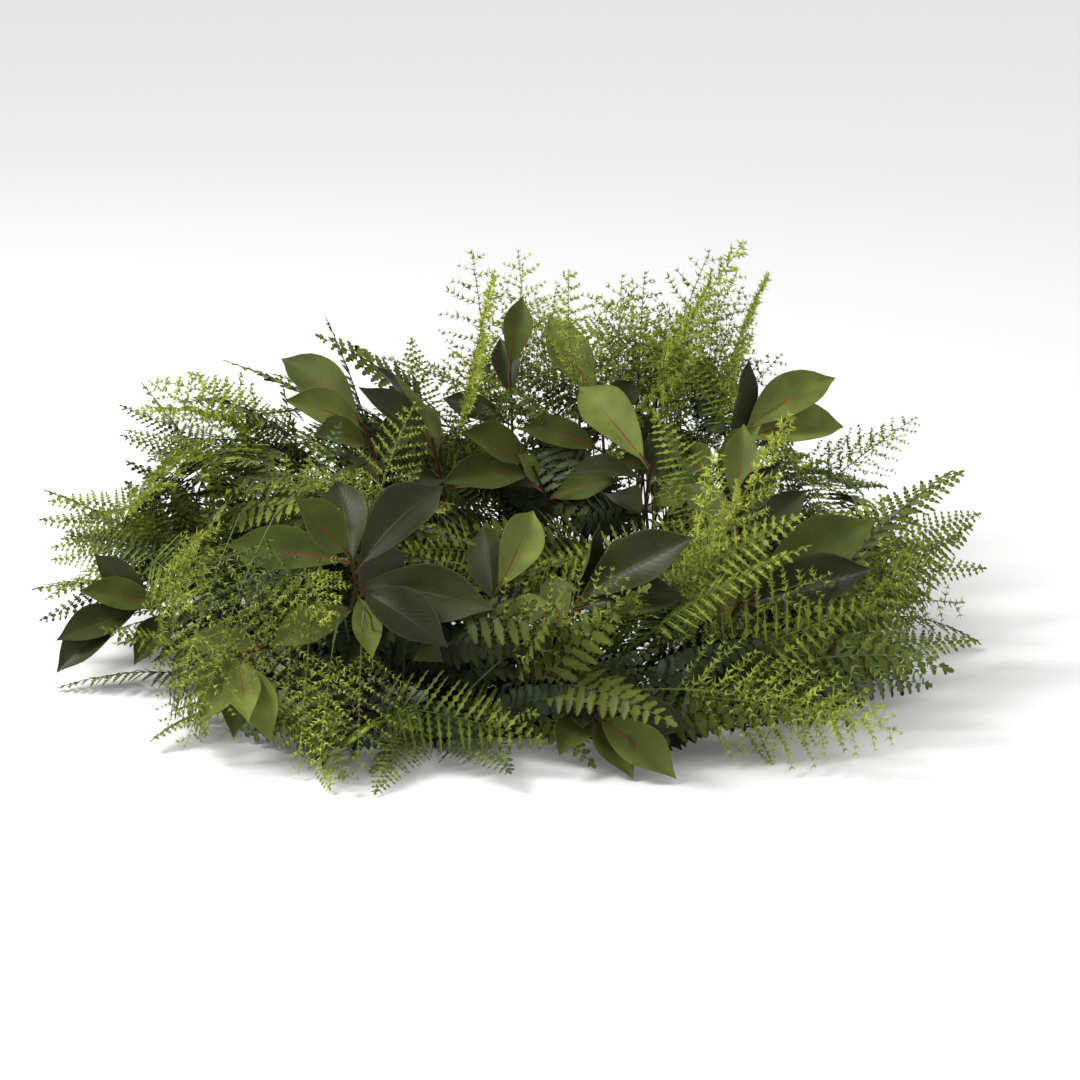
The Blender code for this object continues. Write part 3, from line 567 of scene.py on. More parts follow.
# A laurel leaf: a thin sheet, cupped and waved, with a raised midrib below and a stalk
leafShape = dict(
    across=8, along=13, widest=0.192, stalk=0.09, stalkWidth=0.012, thickness=0.0052, cup=0.30,
    fold=0.22, wave=0.022, waves=1.6, denser=0.06, lean=0.03, midrib=0.007, kinds=5,
    rod=(0.012, 0.006, 0.0, 0.15, 6, 3), rodLow=0.002, swelling=1.12, powers=(0.78, 0.62),
    ribNear=0.01, ribFacing=0.3, underFacing=0.2)


def leafHalfWidth(y):
    stalk = leafShape["stalk"]
    share = min(1.0, max(0.0, (y - stalk) / (1 - stalk)))
    swell = sin(pi * share ** leafShape["swelling"])
    blunt, pointed = leafShape["powers"]
    width = leafShape["widest"] * max(swell, 0.0) ** (blunt + pointed * share**2)
    return max(width, leafShape["stalkWidth"] * (1 - share))


def leafTemplate(rng, turned):
    look = leafShape
    bm = newShape()
    bmesh.ops.create_grid(bm, x_segments=look["across"], y_segments=look["along"], size=1.0)
    mapBlade(bm, lambda spot: (spot.x / 2 + 0.5, spot.y / 2 + 0.5))
    phases = [rng.uniform(0, 2 * pi) for _ in range(2)]
    lean = about(rng, look["lean"])
    for vert in bm.verts:
        across, y = vert.co.x, vert.co.y / 2 + 0.5
        y += look["denser"] * sin(2 * pi * y) * (1 - y)
        width = leafHalfWidth(y)
        side = phases[0] if across > 0 else phases[1]
        ripple = sin(2 * pi * look["waves"] * y + side) * look["wave"]
        height = look["cup"] * width * across * across + look["fold"] * width * abs(across)
        height += ripple * across * across * width / look["widest"]
        vert.co = Vector((across * width + lean * sin(pi * y), y, height))
    bmesh.ops.remove_doubles(bm, verts=bm.verts, dist=weldGap)
    bmesh.ops.solidify(bm, geom=bm.faces[:], thickness=look["thickness"])
    bmesh.ops.recalc_face_normals(bm, faces=bm.faces)
    bm.normal_update()
    outer = 1 if turned else -1
    middle = bm.loops.layers.uv[mapName]
    for vert in bm.verts:
        onRib = any(abs(loop[middle].uv.x - 0.5) < look["ribNear"] for loop in vert.link_loops)
        if onRib and vert.normal.z * outer > look["ribFacing"]:
            vert.co.z += outer * look["midrib"] * (1 - vert.co.y)
    for face in bm.faces:
        under = face.normal.z * outer > look["underFacing"]
        face.material_index = underSlot if under else bladeSlot
    addCopy(bm, rodMesh(*look["rod"]), Matrix.Translation((0, 0, look["rodLow"] * outer)))
    return template(bm, "laurelLeaf")


# A pinna: a leaflet of a frond, cut into lobes down both its sides. Its two sheets meet in
# its outline, and they stand apart at its rib.
pinnaRule = dict(base=0.6, swelling=2.0, start=0.02, span=0.94, cut=0.45, drop=0.1)


def lobeCorner(index, lobes, look):
    rule = pinnaRule
    lobe, corner = divmod(index, len(look["corners"]))
    start, reach = look["corners"][corner]
    y = (lobe + start) / lobes
    swell = min(1.0, rule["base"] + rule["swelling"] * y) * (1 - y) ** look["narrowing"]
    return reach * swell, rule["start"] + rule["span"] * y


def pinnaMesh(lobes, look):
    bm = newShape()
    side = len(look["corners"]) * lobes
    bmesh.ops.create_circle(bm, cap_ends=True, segments=2 * side + 2, radius=1.0)
    ring = bm.verts[:]
    ring[0].co = Vector((0, 1, 0))
    ring[side + 1].co = Vector((0, 0, 0))
    for index in range(side):
        x, y = lobeCorner(index, lobes, look)
        ring[side - index].co = Vector((-x, y, 0))
        ring[side + 2 + index].co = Vector((x, y, 0))
    cutAcross(bm, (1, 0, 0), 0.0)
    cutAcross(bm, (0, 1, 0), pinnaRule["cut"])
    mapBlade(bm, lambda spot: (spot.x / 2 + 0.5, spot.y))
    for vert in bm.verts:
        vert.co.z = look["fold"] * abs(vert.co.x) - pinnaRule["drop"] * vert.co.y**2
    lower = bmesh.ops.duplicate(bm, geom=bm.verts[:] + bm.edges[:] + bm.faces[:])["geom"]
    lowerFaces = [item for item in lower if isinstance(item, bmesh.types.BMFace)]
    lowerVerts = [item for item in lower if isinstance(item, bmesh.types.BMVert)]
    bmesh.ops.reverse_faces(bm, faces=lowerFaces)
    for vert in lowerVerts:
        if not vert.is_boundary:
            vert.co.z -= look["thickness"]
    bmesh.ops.remove_doubles(bm, verts=bm.verts, dist=weldGap)
    bmesh.ops.triangulate(bm, faces=bm.faces)
    return toMesh(bm, "pinna")


frondShapes = dict(
    lace=dict(pairs=17, stipe=0.14, widest=0.26, sweep=0.38, fall=0.18, lobes=8,
        corners=((0.0, 0.18), (0.08, 0.80), (0.66, 1.0)), narrowing=0.5, fold=0.3, broad=0.50,
        thickness=0.05, rib=0.0052, kinds=4),
    scallop=dict(pairs=12, stipe=0.12, widest=0.21, sweep=0.50, fall=0.16, lobes=6,
        corners=((0.0, 0.50), (0.25, 0.86), (0.85, 1.0)), narrowing=0.40, fold=0.2, broad=0.72,
        thickness=0.05, rib=0.0060, kinds=4),
    coarse=dict(pairs=12, stipe=0.10, widest=0.27, sweep=0.40, fall=0.2, lobes=1,
        corners=((0.05, 0.8), (0.6, 1.0)), narrowing=0.2, fold=0.3, broad=0.8, thickness=0.05,
        rib=0.0050, kinds=3))
frondShapes["laceFill"] = dict(frondShapes["lace"], pairs=16, lobes=7,
                               corners=((0.0, 0.2), (0.5, 1.0)))
frondShapes["scallopFill"] = dict(frondShapes["scallop"], pairs=11,
                                  corners=((0.0, 0.52), (0.78, 1.0)))
frondRule = dict(
    end=0.985, stagger=(0.05, 0.45), narrowing=0.8, base=0.72, swelling=1.6, least=0.012,
    size=(0.92, 1.05), sweep=0.10, rise=0.12, roll=0.35, longer=1.05, slimness=0.45, tipStart=0.93,
    tip=(0.45, 0.07, 0.02), ribTaper=0.3, ribSteps=(5, 10))


def frondTemplate(rng, look):
    rule = frondRule
    bm = newShape()
    pinnae = {}
    spacing = (rule["end"] - look["stipe"]) / look["pairs"]
    for n in range(look["pairs"]):
        for side in (-1, 1):
            y = look["stipe"] + spacing * (n + rule["stagger"][side > 0])
            share = (y - look["stipe"]) / (1 - look["stipe"])
            swell = min(1.0, rule["base"] + rule["swelling"] * share)
            reach = look["widest"] * (1 - share) ** rule["narrowing"] * swell + rule["least"]
            reach *= rng.uniform(*rule["size"])
            lobes = max(min(2, look["lobes"]), round(look["lobes"] * reach / look["widest"]))
            if lobes not in pinnae:
                pinnae[lobes] = pinnaMesh(lobes, look)
            heading = Vector((side, look["sweep"] + about(rng, rule["sweep"]),
                              about(rng, rule["rise"]) - look["fall"]))
            heading.normalize()
            up = (Vector((0, 0, 1)) - heading * heading.z).normalized()
            up = Matrix.Rotation(about(rng, rule["roll"]), 3, heading) @ up
            broad = min(spacing * look["broad"], rule["slimness"] * reach)
            turned = Matrix((heading.cross(up) * broad, heading * reach * rule["longer"],
                             up * broad))
            addCopy(bm, pinnae[lobes], Matrix.Translation((0, y, 0)) @ turned.transposed().to_4x4())
    wide, long, thick = rule["tip"]
    tip = Matrix.Diagonal((spacing * wide, long, thick, 1))
    addCopy(bm, pinnae[min(pinnae)], Matrix.Translation((0, rule["tipStart"], 0)) @ tip)
    rib = rodMesh(look["rib"], look["rib"] * rule["ribTaper"], 0.0, rule["end"], *rule["ribSteps"])
    addCopy(bm, rib, Matrix.Identity(4))
    return template(bm, "frond")


# An asparagus plume: a flat spray of slim branches, all set with stars of needles
plumeShapes = dict(
    plume=dict(pairs=10, first=0.12, sweep=0.62, twig=0.0024, star=0.028, needles=6,
        needleLength=0.040, needleThickness=0.0042),
    sparse=dict(pairs=8, first=0.14, sweep=0.60, twig=0.0022, star=0.034, needles=5,
        needleLength=0.045, needleThickness=0.0050))
plumeRule = dict(
    widest=0.34, fall=0.2, axis=0.0046, kinds=3, stars=4, end=0.97, narrowing=0.7, size=(0.8, 1.1),
    sweepSpread=(-0.15, 0.2), riseSpread=(-0.18, 0.22), longer=1.2, axisTaper=0.35, twigTaper=0.4,
    shrink=0.3, needleSize=(0.75, 1.1), needleSpread=0.3, needleOpening=(35, 80),
    stagger=(0.0, 0.5), axisRod=(0.0, 0.99, 5, 10), twigRod=(0.0, 1.0, 3, 2))


def starMesh(rng, look):
    rule = plumeRule
    bm = newShape()
    for n in range(look["needles"]):
        before = len(bm.verts)
        length = look["needleLength"] * rng.uniform(*rule["needleSize"])
        bmesh.ops.create_cone(bm, cap_ends=True, segments=3, radius1=look["needleThickness"] / 2,
                              radius2=0, depth=length)
        bm.verts.ensure_lookup_table()
        made = bm.verts[before:]
        bmesh.ops.translate(bm, verts=made, vec=(0, 0, length / 2))
        turn = n * layout["golden"] + about(rng, rule["needleSpread"])
        opening = radians(rng.uniform(*rule["needleOpening"]))
        aim = Matrix.Rotation(turn, 3, "Y") @ Vector((sin(opening), cos(opening), 0))
        swing = Vector((0, 0, 1)).rotation_difference(aim).to_matrix()
        bmesh.ops.rotate(bm, verts=made, matrix=swing)
        bmesh.ops.remove_doubles(bm, verts=made, dist=weldGap)
    mapBlade(bm, lambda spot: (0.5, min(1.0, spot.length / look["needleLength"])))
    return toMesh(bm, "star")


def plumeTemplate(rng, look):
    rule = plumeRule
    bm = newShape()
    stars = [starMesh(rng, look) for _ in range(rule["stars"])]
    axis = rodMesh(rule["axis"], rule["axis"] * rule["axisTaper"], *rule["axisRod"])
    addCopy(bm, axis, Matrix.Identity(4))
    span = rule["end"] - look["first"]
    runs = [(Vector((0, look["first"], 0)), Vector((0, 1, 0)), span)]
    for n in range(look["pairs"]):
        for side in (-1, 1):
            y = look["first"] + span * (n + rule["stagger"][side > 0]) / look["pairs"]
            reach = rule["widest"] * (1 - y) ** rule["narrowing"] * rng.uniform(*rule["size"])
            heading = Vector((side, look["sweep"] + rng.uniform(*rule["sweepSpread"]),
                              rng.uniform(*rule["riseSpread"]) - rule["fall"]))
            runs.append((Vector((0, y, 0)), heading.normalized(), reach * rule["longer"]))
    twig = rodMesh(look["twig"], look["twig"] * rule["twigTaper"], *rule["twigRod"])
    for root, heading, reach in runs[1:]:
        addCopy(bm, twig, pointedAlong(root, heading, reach))
    for root, heading, reach in runs:
        steps = max(2, round(reach / look["star"]))
        for step in range(1, steps + 1):
            shrink = 1.0 - rule["shrink"] * step / steps
            spin = Matrix.Rotation(rng.uniform(0, 2 * pi), 4, "Y")
            place = pointedAlong(root + heading * (reach * step / steps), heading, 1.0)
            addCopy(bm, rng.choice(stars), place @ spin @ Matrix.Diagonal((shrink,) * 3 + (1,)))
    return template(bm, "plume")


def makeTemplates():
    rng = random.Random(layout["seed"])
    made = {kind: [leafTemplate(rng, kind == "turned") for _ in range(leafShape["kinds"])]
            for kind in ("laurel", "turned")}
    for kind, look in frondShapes.items():
        made[kind] = [frondTemplate(rng, look) for _ in range(look["kinds"])]
    for kind, look in plumeShapes.items():
        made[kind] = [plumeTemplate(rng, look) for _ in range(plumeRule["kinds"])]
    return made


templates = makeTemplates()
for kind, made in templates.items():
    print("template", kind, [len(item["mesh"].polygons) for item in made])


# Needles and lobes that would reach into the table are pressed nearly flat on it
pressed = dict(height=0.0008, share=0.06)


def layBlade(shape, rows, length, rng):
    chosen = rng.choice(templates[shape])
    spots = layAlong(chosen["flat"], rows, length) + np.array(ringShift)
    under = spots[:, 2] < pressed["height"]
    spots[under, 2] = pressed["height"] + (spots[under, 2] - pressed["height"]) * pressed["share"]
    return chosen["mesh"], spots


def bladeMesh(source, spots, tint):
    mesh = source.copy()
    mesh.vertices.foreach_set("co", spots.astype(np.float32).ravel())
    tints = mesh.attributes.new(tintName, "FLOAT", "POINT")
    tints.data.foreach_set("value", np.full(len(spots), tint, np.float32))
    return mesh


def joined(name, meshes):
    bm = bmesh.new()
    for mesh in meshes:
        bm.from_mesh(mesh)
        bpy.data.meshes.remove(mesh)
    piece = linked(name, toMesh(bm, name))
    piece.data.shade_smooth()
    piece.data.set_sharp_from_angle(angle=sharpAngle)
    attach(piece, "root")
    return piece


def asTwig(mesh):
    for face in mesh.polygons:
        face.material_index = twigSlot
    return mesh


def triangles(piece):
    return sum(len(face.vertices) - 2 for face in piece.data.polygons)


view = dict(
    distance=3.0, rise=15.0, lens=100.0, target=(0.025, 0.0, 0.114), sensor=36.0, clip=50.0)
towardsView = direction(-90, view["rise"])
# Which side of a leaf shows, and the span that its tint is drawn from. A lower side drawn from the
# darkest tints is painted shade.
leafSides = dict(pale=(True, (0.55, 1.0)), olive=(True, (0.0, 0.25)), dark=(False, (0.0, 0.7)))
paleShare = 0.4


def leafLook(rng, side, rows):
    if side is None:
        side = rng.choice(["pale", "olive"]) if rng.random() < paleShare else "dark"
    lower, tints = leafSides[side]
    faced = rows[len(rows) // 2][6:].dot(np.array(towardsView)) > 0
    return "turned" if lower == faced else "laurel", rng.uniform(*tints)


def makePicks():
    pieces = []
    leaves = []
    for row in picks:
        kind = row["kind"]
        rng = random.Random(f"fine {row['name']}")
        line = [point + ringShift for point in row["line"]]
        meshes = [asTwig(tubeMesh("twig", line, layout["pickThickness"], 1, taper=pickTapers))]
        for rows, length, side in row["grown"]:
            shape, tint = kind, rng.random()
            if kind == "laurel":
                shape, tint = leafLook(rng, side, rows)
            source, spots = layBlade(shape, rows, length, rng)
            meshes.append(bladeMesh(source, spots, tint))
            if kind == "laurel":
                leaves.append((source, spots))
        piece = joined("fine_" + row["name"], meshes)
        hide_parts(row["name"])
        pieces.append((kind, piece))
    return pieces, leaves


pickPieces, leafSpots = makePicks()
print("pick pieces", len(pickPieces), "triangles", sum(triangles(piece) for _, piece in pickPieces))


def leafTree(leaves):
    spots, faces = [], []
    for source, points in leaves:
        faces += [[len(spots) + corner for corner in face.vertices] for face in source.polygons]
        spots += [Vector(point) for point in points]
    return BVHTree.FromPolygons(spots, faces)


leafFaces = leafTree(leafSpots)

# The fill: fronds that lie in the outer face of the garland like shingles, all the way round between the
# part's own, and plainer ones below them, coloured nearly black as painted shade for the inside of the
# garland. Each stands on its own stalk.
fill = dict(
    seed=11, outer=370, inner=185, lowClock=-4.0, highClock=176.0, turnStep=0.618034,
    clockShare=0.754878, clockSpread=5, stationSpread=4,
    heights=[0.15, 0.22, 0.30, 0.30, 0.25, 0.245, 0.235, 0.23, 0.21, 0.15, 0.17, 0.16],
    outwards=[0.120, 0.135, 0.140, 0.135, 0.140, 0.140, 0.134, 0.138, 0.140, 0.138, 0.138, 0.128],
    inwards=0.120, squareness=2.4, innerDepth=(0.35, 0.75), outerDepth=(0.80, 1.0),
    innerLength=0.6, lead=(0.55, 1.0), rise=(0.05, 0.75), sway=0.35, lean=0.45, showing=0.6,
    size=(0.85, 1.05), droop=(0.1, 0.6), curl=(-0.3, 0.2), tints=(0.0, 1.0), stalk=0.0020,
    stalkSteps=4, stalkLead=0.035, stalkBend=0.45, sunk=0.004, floor=0.0015, past=0.018, tries=12,
    overLeaf=0.060, samples=30, mayCover=1, touches=6, mostFaces=150000,
    homes=dict(lace=((172, 60, 1.6), (352, 55, 1.0)), scallop=((282, 60, 1.1), (120, 60, 0.6)),
    plume=((75, 45, 1.2), (232, 30, 1.0), (315, 55, 1.2))),
    base=dict(lace=0.85, scallop=0.45, plume=0.35),
    shapes=dict(lace="laceFill", scallop="scallopFill", plume="sparse"))

# Extra blades where the photo shows a thick tuft: kind and count, then station, clock and
# reach of the roots, compass and rise they point in, their size, and last how far they spread
# and whether they may hide leaves, where that isn't 1 and no
tufts = [
    ("plume", 10, 82, 70, 0.160, 95, 66, 0.95), ("plume", 11, 64, 72, 0.170, 62, 64, 0.95),
    ("plume", 4, 48, 92, 0.130, 40, 48, 0.90), ("plume", 7, 70, 74, 0.180, 75, 52, 0.85),
    ("lace", 4, 104, 84, 0.140, 92, 58, 0.70), ("plume", 2, 26, 50, 0.130, 15, 38, 0.80),
    ("plume", 5, 230, 76, 0.225, 250, -46, 0.85, 0.6, True),
    ("plume", 5, 230, 58, 0.190, 250, -56, 0.72, 0.8, True),
    ("plume", 2, 244, 48, 0.150, 270, -56, 0.70, 0.8, True),
    ("lace", 4, 226, 100, 0.150, 70, 60, 0.65), ("lace", 5, 252, 16, 0.090, 272, -8, 0.70, 1.0, True),
    ("lace", 7, 172, 56, 0.135, 168, 10, 0.75), ("lace", 7, 150, 82, 0.175, 160, 18, 0.70),
    ("plume", 2, 158, 88, 0.180, 150, 30, 0.70), ("lace", 5, 194, 60, 0.130, 190, 8, 0.72),
    ("plume", 3, 298, 26, 0.130, 347, -4, 0.90, 0.8, True), ("lace", 3, 352, 42, 0.110, 3, 22, 0.62),
    ("scallop", 8, 78, 112, 0.120, 165, 42, 0.85), ("scallop", 8, 104, 108, 0.125, 200, 35, 0.85),
    ("lace", 4, 92, 120, 0.130, 180, 50, 0.75), ("scallop", 6, 86, 76, 0.085, 120, 16, 1.00, 1.3, False),
    ("scallop", 5, 64, 76, 0.085, 150, 16, 1.00, 1.3, False), ("plume", 2, 276, 40, 0.110, 350, 5, 0.80),
]
tuftLook = dict(
    station=13, clock=14, compass=26, rise=12, reach=(0.7, 1.1), showing=(0.2, 1.0),
    size=(0.85, 1.1), droop=(0.1, 0.5), curl=(-0.3, 0.2), tints=(0.5, 1.0))


def homeWeight(kind, station):
    weight = fill["base"][kind]
    for centre, width, strength in fill["homes"][kind]:
        off = (station - centre + 180) % 360 - 180
        weight += strength * exp(-((off / width) ** 2))
    return weight


def roundRing(values, station):
    share = station % 360 / 360 * len(values)
    index = int(share) % len(values)
    after = values[(index + 1) % len(values)]
    return values[index] + (after - values[index]) * (share - int(share))


def outerFace(station, clock):
    turn = radians(clock)
    sideways = roundRing(fill["outwards"], station) if cos(turn) > 0 else fill["inwards"]
    upward = roundRing(fill["heights"], station)
    power = fill["squareness"]
    total = (abs(cos(turn)) / sideways) ** power + (abs(sin(turn)) / upward) ** power
    return total ** (-1 / power)


def inside(spots):
    low, high = np.array(cadBox[0]) - fill["past"], np.array(cadBox[1]) + fill["past"]
    if spots[:, 2].min() < fill["floor"]:
        return False
    if (spots.min(axis=0) < low).any() or (spots.max(axis=0) > high).any():
        return False
    return np.hypot(spots[:, 0], spots[:, 1]).min() > layout["holeRadius"]


def coversLeaf(spots):
    step = max(1, len(spots) // fill["samples"])
    over = 0
    for spot in spots[::step]:
        point = Vector(spot)
        near, _, _, gap = leafFaces.find_nearest(point, fill["overLeaf"])
        if near is not None and (point - near).dot(towardsView) > fill["lean"] * gap:
            over += 1
    return over > fill["mayCover"]


def crossesLeaf(source, spots):
    faces = [face.vertices for face in source.polygons]
    tree = BVHTree.FromPolygons([Vector(spot) for spot in spots], faces)
    return len(tree.overlap(leafFaces)) > fill["touches"]


def stalkMesh(root, heading, station, clock):
    strand, along = strandAt(station % 360, clock < layout["tailSide"])
    foot = strand - along * fill["stalkLead"]
    middle = root - heading * (fill["stalkBend"] * (root - foot).length)
    steps = fill["stalkSteps"]
    line = []
    for step in range(steps + 1):
        t = step / steps
        line.append(foot * (1 - t) ** 2 + middle * (2 * t * (1 - t)) + root * t * t + ringShift)
    line[-1] += heading * fill["sunk"]
    low = fill["stalk"] / 2 + fill["floor"]
    for point in line:
        point.z = max(point.z, low)
    return asTwig(tubeMesh("stalk", line, fill["stalk"]))


# A blade on its stalk, or nothing where it finds no room
def planted(rng, shape, root, aim, face, length, clock, look, mayHide=False):
    face = (face - aim * face.dot(aim)).normalized()
    rows = grow(root, aim, face, length, rng.uniform(*look["droop"]), rng.uniform(*look["curl"]))
    source, spots = layBlade(shape, rows, length, rng)
    hides = not mayHide and coversLeaf(spots)
    if hides or not inside(spots) or crossesLeaf(source, spots):
        return []
    station = degrees(atan2(root.y, root.x))
    tint = rng.uniform(*look["tints"])
    return [bladeMesh(source, spots, tint), stalkMesh(root, aim, station, clock)]


def tuftBlade(rng, row):
    kind, _, station, clock, reach, compass, rise, size, *rest = row
    spread, mayHide = rest or (1.0, False)
    look = tuftLook
    for _ in range(fill["tries"]):
        here = station + spread * about(rng, look["station"])
        turn = radians(clock + spread * about(rng, look["clock"]))
        around = outwardsAt(here, turn)
        aim = direction(compass + spread * about(rng, look["compass"]),
                        rise + spread * about(rng, look["rise"]))
        root = ringPoint(here, height=stemFlat()) + around * (reach * rng.uniform(*look["reach"]))
        face = around + towardsView * rng.uniform(*look["showing"])
        length = lengths[kind] * size * rng.uniform(*look["size"])
        made = planted(rng, fill["shapes"][kind], root, aim, face, length, clock, look, mayHide)
        if made:
            return made
    return []


def fillBlade(rng, n, kind, shape, depth, size):
    station = 360 * (n * fill["turnStep"] % 1)
    span = fill["highClock"] - fill["lowClock"]
    clock = fill["lowClock"] + span * (n * fill["clockShare"] % 1)
    for _ in range(fill["tries"]):
        turn = radians(clock + about(rng, fill["clockSpread"]))
        here = station + about(rng, fill["stationSpread"])
        around = outwardsAt(here, turn)
        along = direction(here + 90, 0)
        across = around.cross(along)
        aim = along * rng.uniform(*fill["lead"]) + around * rng.uniform(*fill["rise"])
        aim += across * about(rng, fill["sway"])
        aim.normalize()
        face = around + across * about(rng, fill["lean"])
        face += towardsView * (fill["showing"] * max(0.0, sin(turn)))
        length = lengths[kind] * size * rng.uniform(*fill["size"])
        reach = outerFace(here, degrees(turn)) * rng.uniform(*depth)
        middle = ringPoint(here, height=stemFlat()) + around * reach
        root = middle - aim * (length / 2)
        made = planted(rng, shape, root, aim, face, length, clock, fill)
        if made:
            return made
    return []


def fillMeshes():
    rng = random.Random(fill["seed"])
    made = {"lace": [], "scallop": [], "plume": [], "inner": []}
    kinds = list(fill["homes"])
    for n in range(fill["outer"]):
        station = 360 * (n * fill["turnStep"] % 1)
        kind = rng.choices(kinds, [homeWeight(kind, station) for kind in kinds])[0]
        made[kind] += fillBlade(rng, n, kind, fill["shapes"][kind], fill["outerDepth"], 1.0)
    for n in range(fill["inner"]):
        made["inner"] += fillBlade(rng, n, "lace", "coarse", fill["innerDepth"],
                                   fill["innerLength"])
    rng = random.Random(f"{fill['seed']} tufts")
    for row in tufts:
        for _ in range(row[1]):
            made[row[0]] += tuftBlade(rng, row)
    return made


def makeFill():
    pieces = []
    for kind, meshes in fillMeshes().items():
        faces = sum(len(mesh.polygons) for mesh in meshes)
        parts = ceil(faces / fill["mostFaces"])
        size = ceil(len(meshes) / parts)
        for part in range(parts):
            name = f"fill_{kind}_{part + 1}"
            piece = joined(name, meshes[part * size:(part + 1) * size])
            pieces.append((kind, piece))
            print(name, "triangles", triangles(piece))
    return pieces


fillPieces = makeFill()


# Materials. A node is added with its settings and with what goes into its sockets.
def addNode(tree, kind, settings=(), inputs=()):
    node = tree.nodes.new("ShaderNode" + kind)
    for key, value in dict(settings).items():
        setattr(node, key, value)
    for key, value in dict(inputs).items():
        if isinstance(value, bpy.types.NodeSocket):
            tree.links.new(value, node.inputs[key])
        else:
            node.inputs[key].default_value = value
    return node


def maths(operation, first, second=0.0):
    inputs = {0: first, 1: second}
    return addNode(first.id_data, "Math", {"operation": operation}, inputs).outputs[0]


def times(first, second):
    return maths("MULTIPLY", first, second)


def offMiddle(value):
    return maths("ABSOLUTE", maths("SUBTRACT", value, 0.5))


def mixed(tree, share, first, second, blend="MIX"):
    settings = {"data_type": "RGBA", "blend_type": blend}
    return addNode(tree, "Mix", settings, {0: share, 6: first, 7: second}).outputs[2]


def toned(tree, tone, shade):
    grey = addNode(tree, "CombineColor", {}, {0: shade, 1: shade, 2: shade}).outputs[0]
    return mixed(tree, 1.0, tone, grey, "MULTIPLY")


def ranged(value, start, end, low=0.0, high=1.0, kind="SMOOTHSTEP"):
    inputs = {0: value, 1: start, 2: end, 3: low, 4: high}
    return addNode(value.id_data, "MapRange", {"interpolation_type": kind}, inputs).outputs[0]


def attribute(tree, name):
    return addNode(tree, "Attribute", {"attribute_name": name}).outputs["Fac"]


def axesOf(tree, place):
    return addNode(tree, "SeparateXYZ", {}, {0: place}).outputs


def onBlade(tree):
    return axesOf(tree, addNode(tree, "UVMap", {"uv_map": mapName}).outputs[0])


# What every material shares
surface = dict(shine=0.12, noise=dict(Detail=3.0, Roughness=0.55), patches=(0.3, 0.7),
               shades=(0.75, 1.25))


# Soft patches that make no two stretches of a blade the same shade
def patched(tree, scale, low, high):
    place = addNode(tree, "TexCoord").outputs["Object"]
    noise = addNode(tree, "TexNoise", {}, dict(surface["noise"], Vector=place, Scale=scale))
    return ranged(noise.outputs[0], *surface["patches"], low, high, "LINEAR")


# The marks of a leaf: its midrib, its side veins and its edge
leafWear = dict(
    patches=(28.0, 0.7, 1.3), bump=(0.35, 0.0008), ribStart=0.1, ribTip=0.05,
    ribLine=(0.6, 1.3, 1.0, 0.0), veins=17.0, veinSlant=9.0, veinLine=(0.03, 0.14, 1.0, 0.0),
    veinEnd=(0.47, 0.36), edge=(0.455, 0.495))


def leafMarks(tree, ribWidth, ribEnd):
    look = leafWear
    across, up = onBlade(tree)[:2]
    off = offMiddle(across)
    width = times(ranged(up, look["ribStart"], ribEnd, 1.0, look["ribTip"], "LINEAR"), ribWidth)
    rib = times(ranged(maths("DIVIDE", off, width), *look["ribLine"]),
                maths("LESS_THAN", up, ribEnd))
    slanted = maths("SUBTRACT", times(up, look["veins"]), times(off, look["veinSlant"]))
    veins = times(ranged(offMiddle(maths("FRACT", slanted)), *look["veinLine"]),
                  ranged(off, *look["veinEnd"]))
    return dict(rib=rib, veins=veins, edge=ranged(off, *look["edge"]))


def newMaterial(name):
    made = bpy.data.materials.new(name)
    made.use_nodes = True
    sockets = made.node_tree.nodes["Principled BSDF"].inputs
    sockets["Specular IOR Level"].default_value = surface["shine"]
    return made, made.node_tree, sockets


def wireSurface(tree, sockets, tone, shade, roughness, height, strength, depth):
    tree.links.new(tone, sockets["Base Color"])
    rough = ranged(shade, *surface["shades"], *roughness, "LINEAR")
    tree.links.new(rough, sockets["Roughness"])
    inputs = {"Height": height, "Strength": strength, "Distance": depth}
    tree.links.new(addNode(tree, "Bump", {}, inputs).outputs[0], sockets["Normal"])


# Colours are given in thousandths
def solid(tone):
    return (*(part / 1000 for part in tone), 1.0)


# A frond's colour from its root to its tip, with each blade's own tint
frondWear = dict(
    rise=0.22, drift=0.5, oddStep=7.31, lightStep=17.3, patches=(55.0, 0.78, 1.25),
    oddToneAndGlint=(0.92, 1.10, 0.45, 1.0), lights=(0.0, 1.0, 0.72, 1.22, "LINEAR"), bump=(0.25, 0.0006))


def frondMaterial(name, root, tip, odd, oddShare, roughness, tipStart=0.1, tipEnd=1.0):
    look = frondWear
    made, tree, sockets = newMaterial(name)
    tint = attribute(tree, tintName)
    place = maths("ADD", attribute(tree, alongName), times(onBlade(tree)[1], look["rise"]))
    place = maths("ADD", place, times(maths("SUBTRACT", tint, 0.5), look["drift"]))
    share = ranged(place, tipStart, tipEnd, kind="LINEAR")
    tone = mixed(tree, share, solid(root), solid(tip))
    isOdd = maths("LESS_THAN", maths("FRACT", times(tint, look["oddStep"])), oddShare)
    patches = patched(tree, *look["patches"])
    # Odd fronds take their odd colour in patches. It is partly their own tone and, on lace and scallop
    # fronds, partly a painted glint.
    tone = mixed(tree, times(isOdd, ranged(patches, *look["oddToneAndGlint"])), tone, solid(odd))
    lights = ranged(maths("FRACT", times(tint, look["lightStep"])), *look["lights"])
    shade = times(patches, lights)
    wireSurface(tree, sockets, toned(tree, tone, shade), shade, roughness, shade, *look["bump"])
    return made


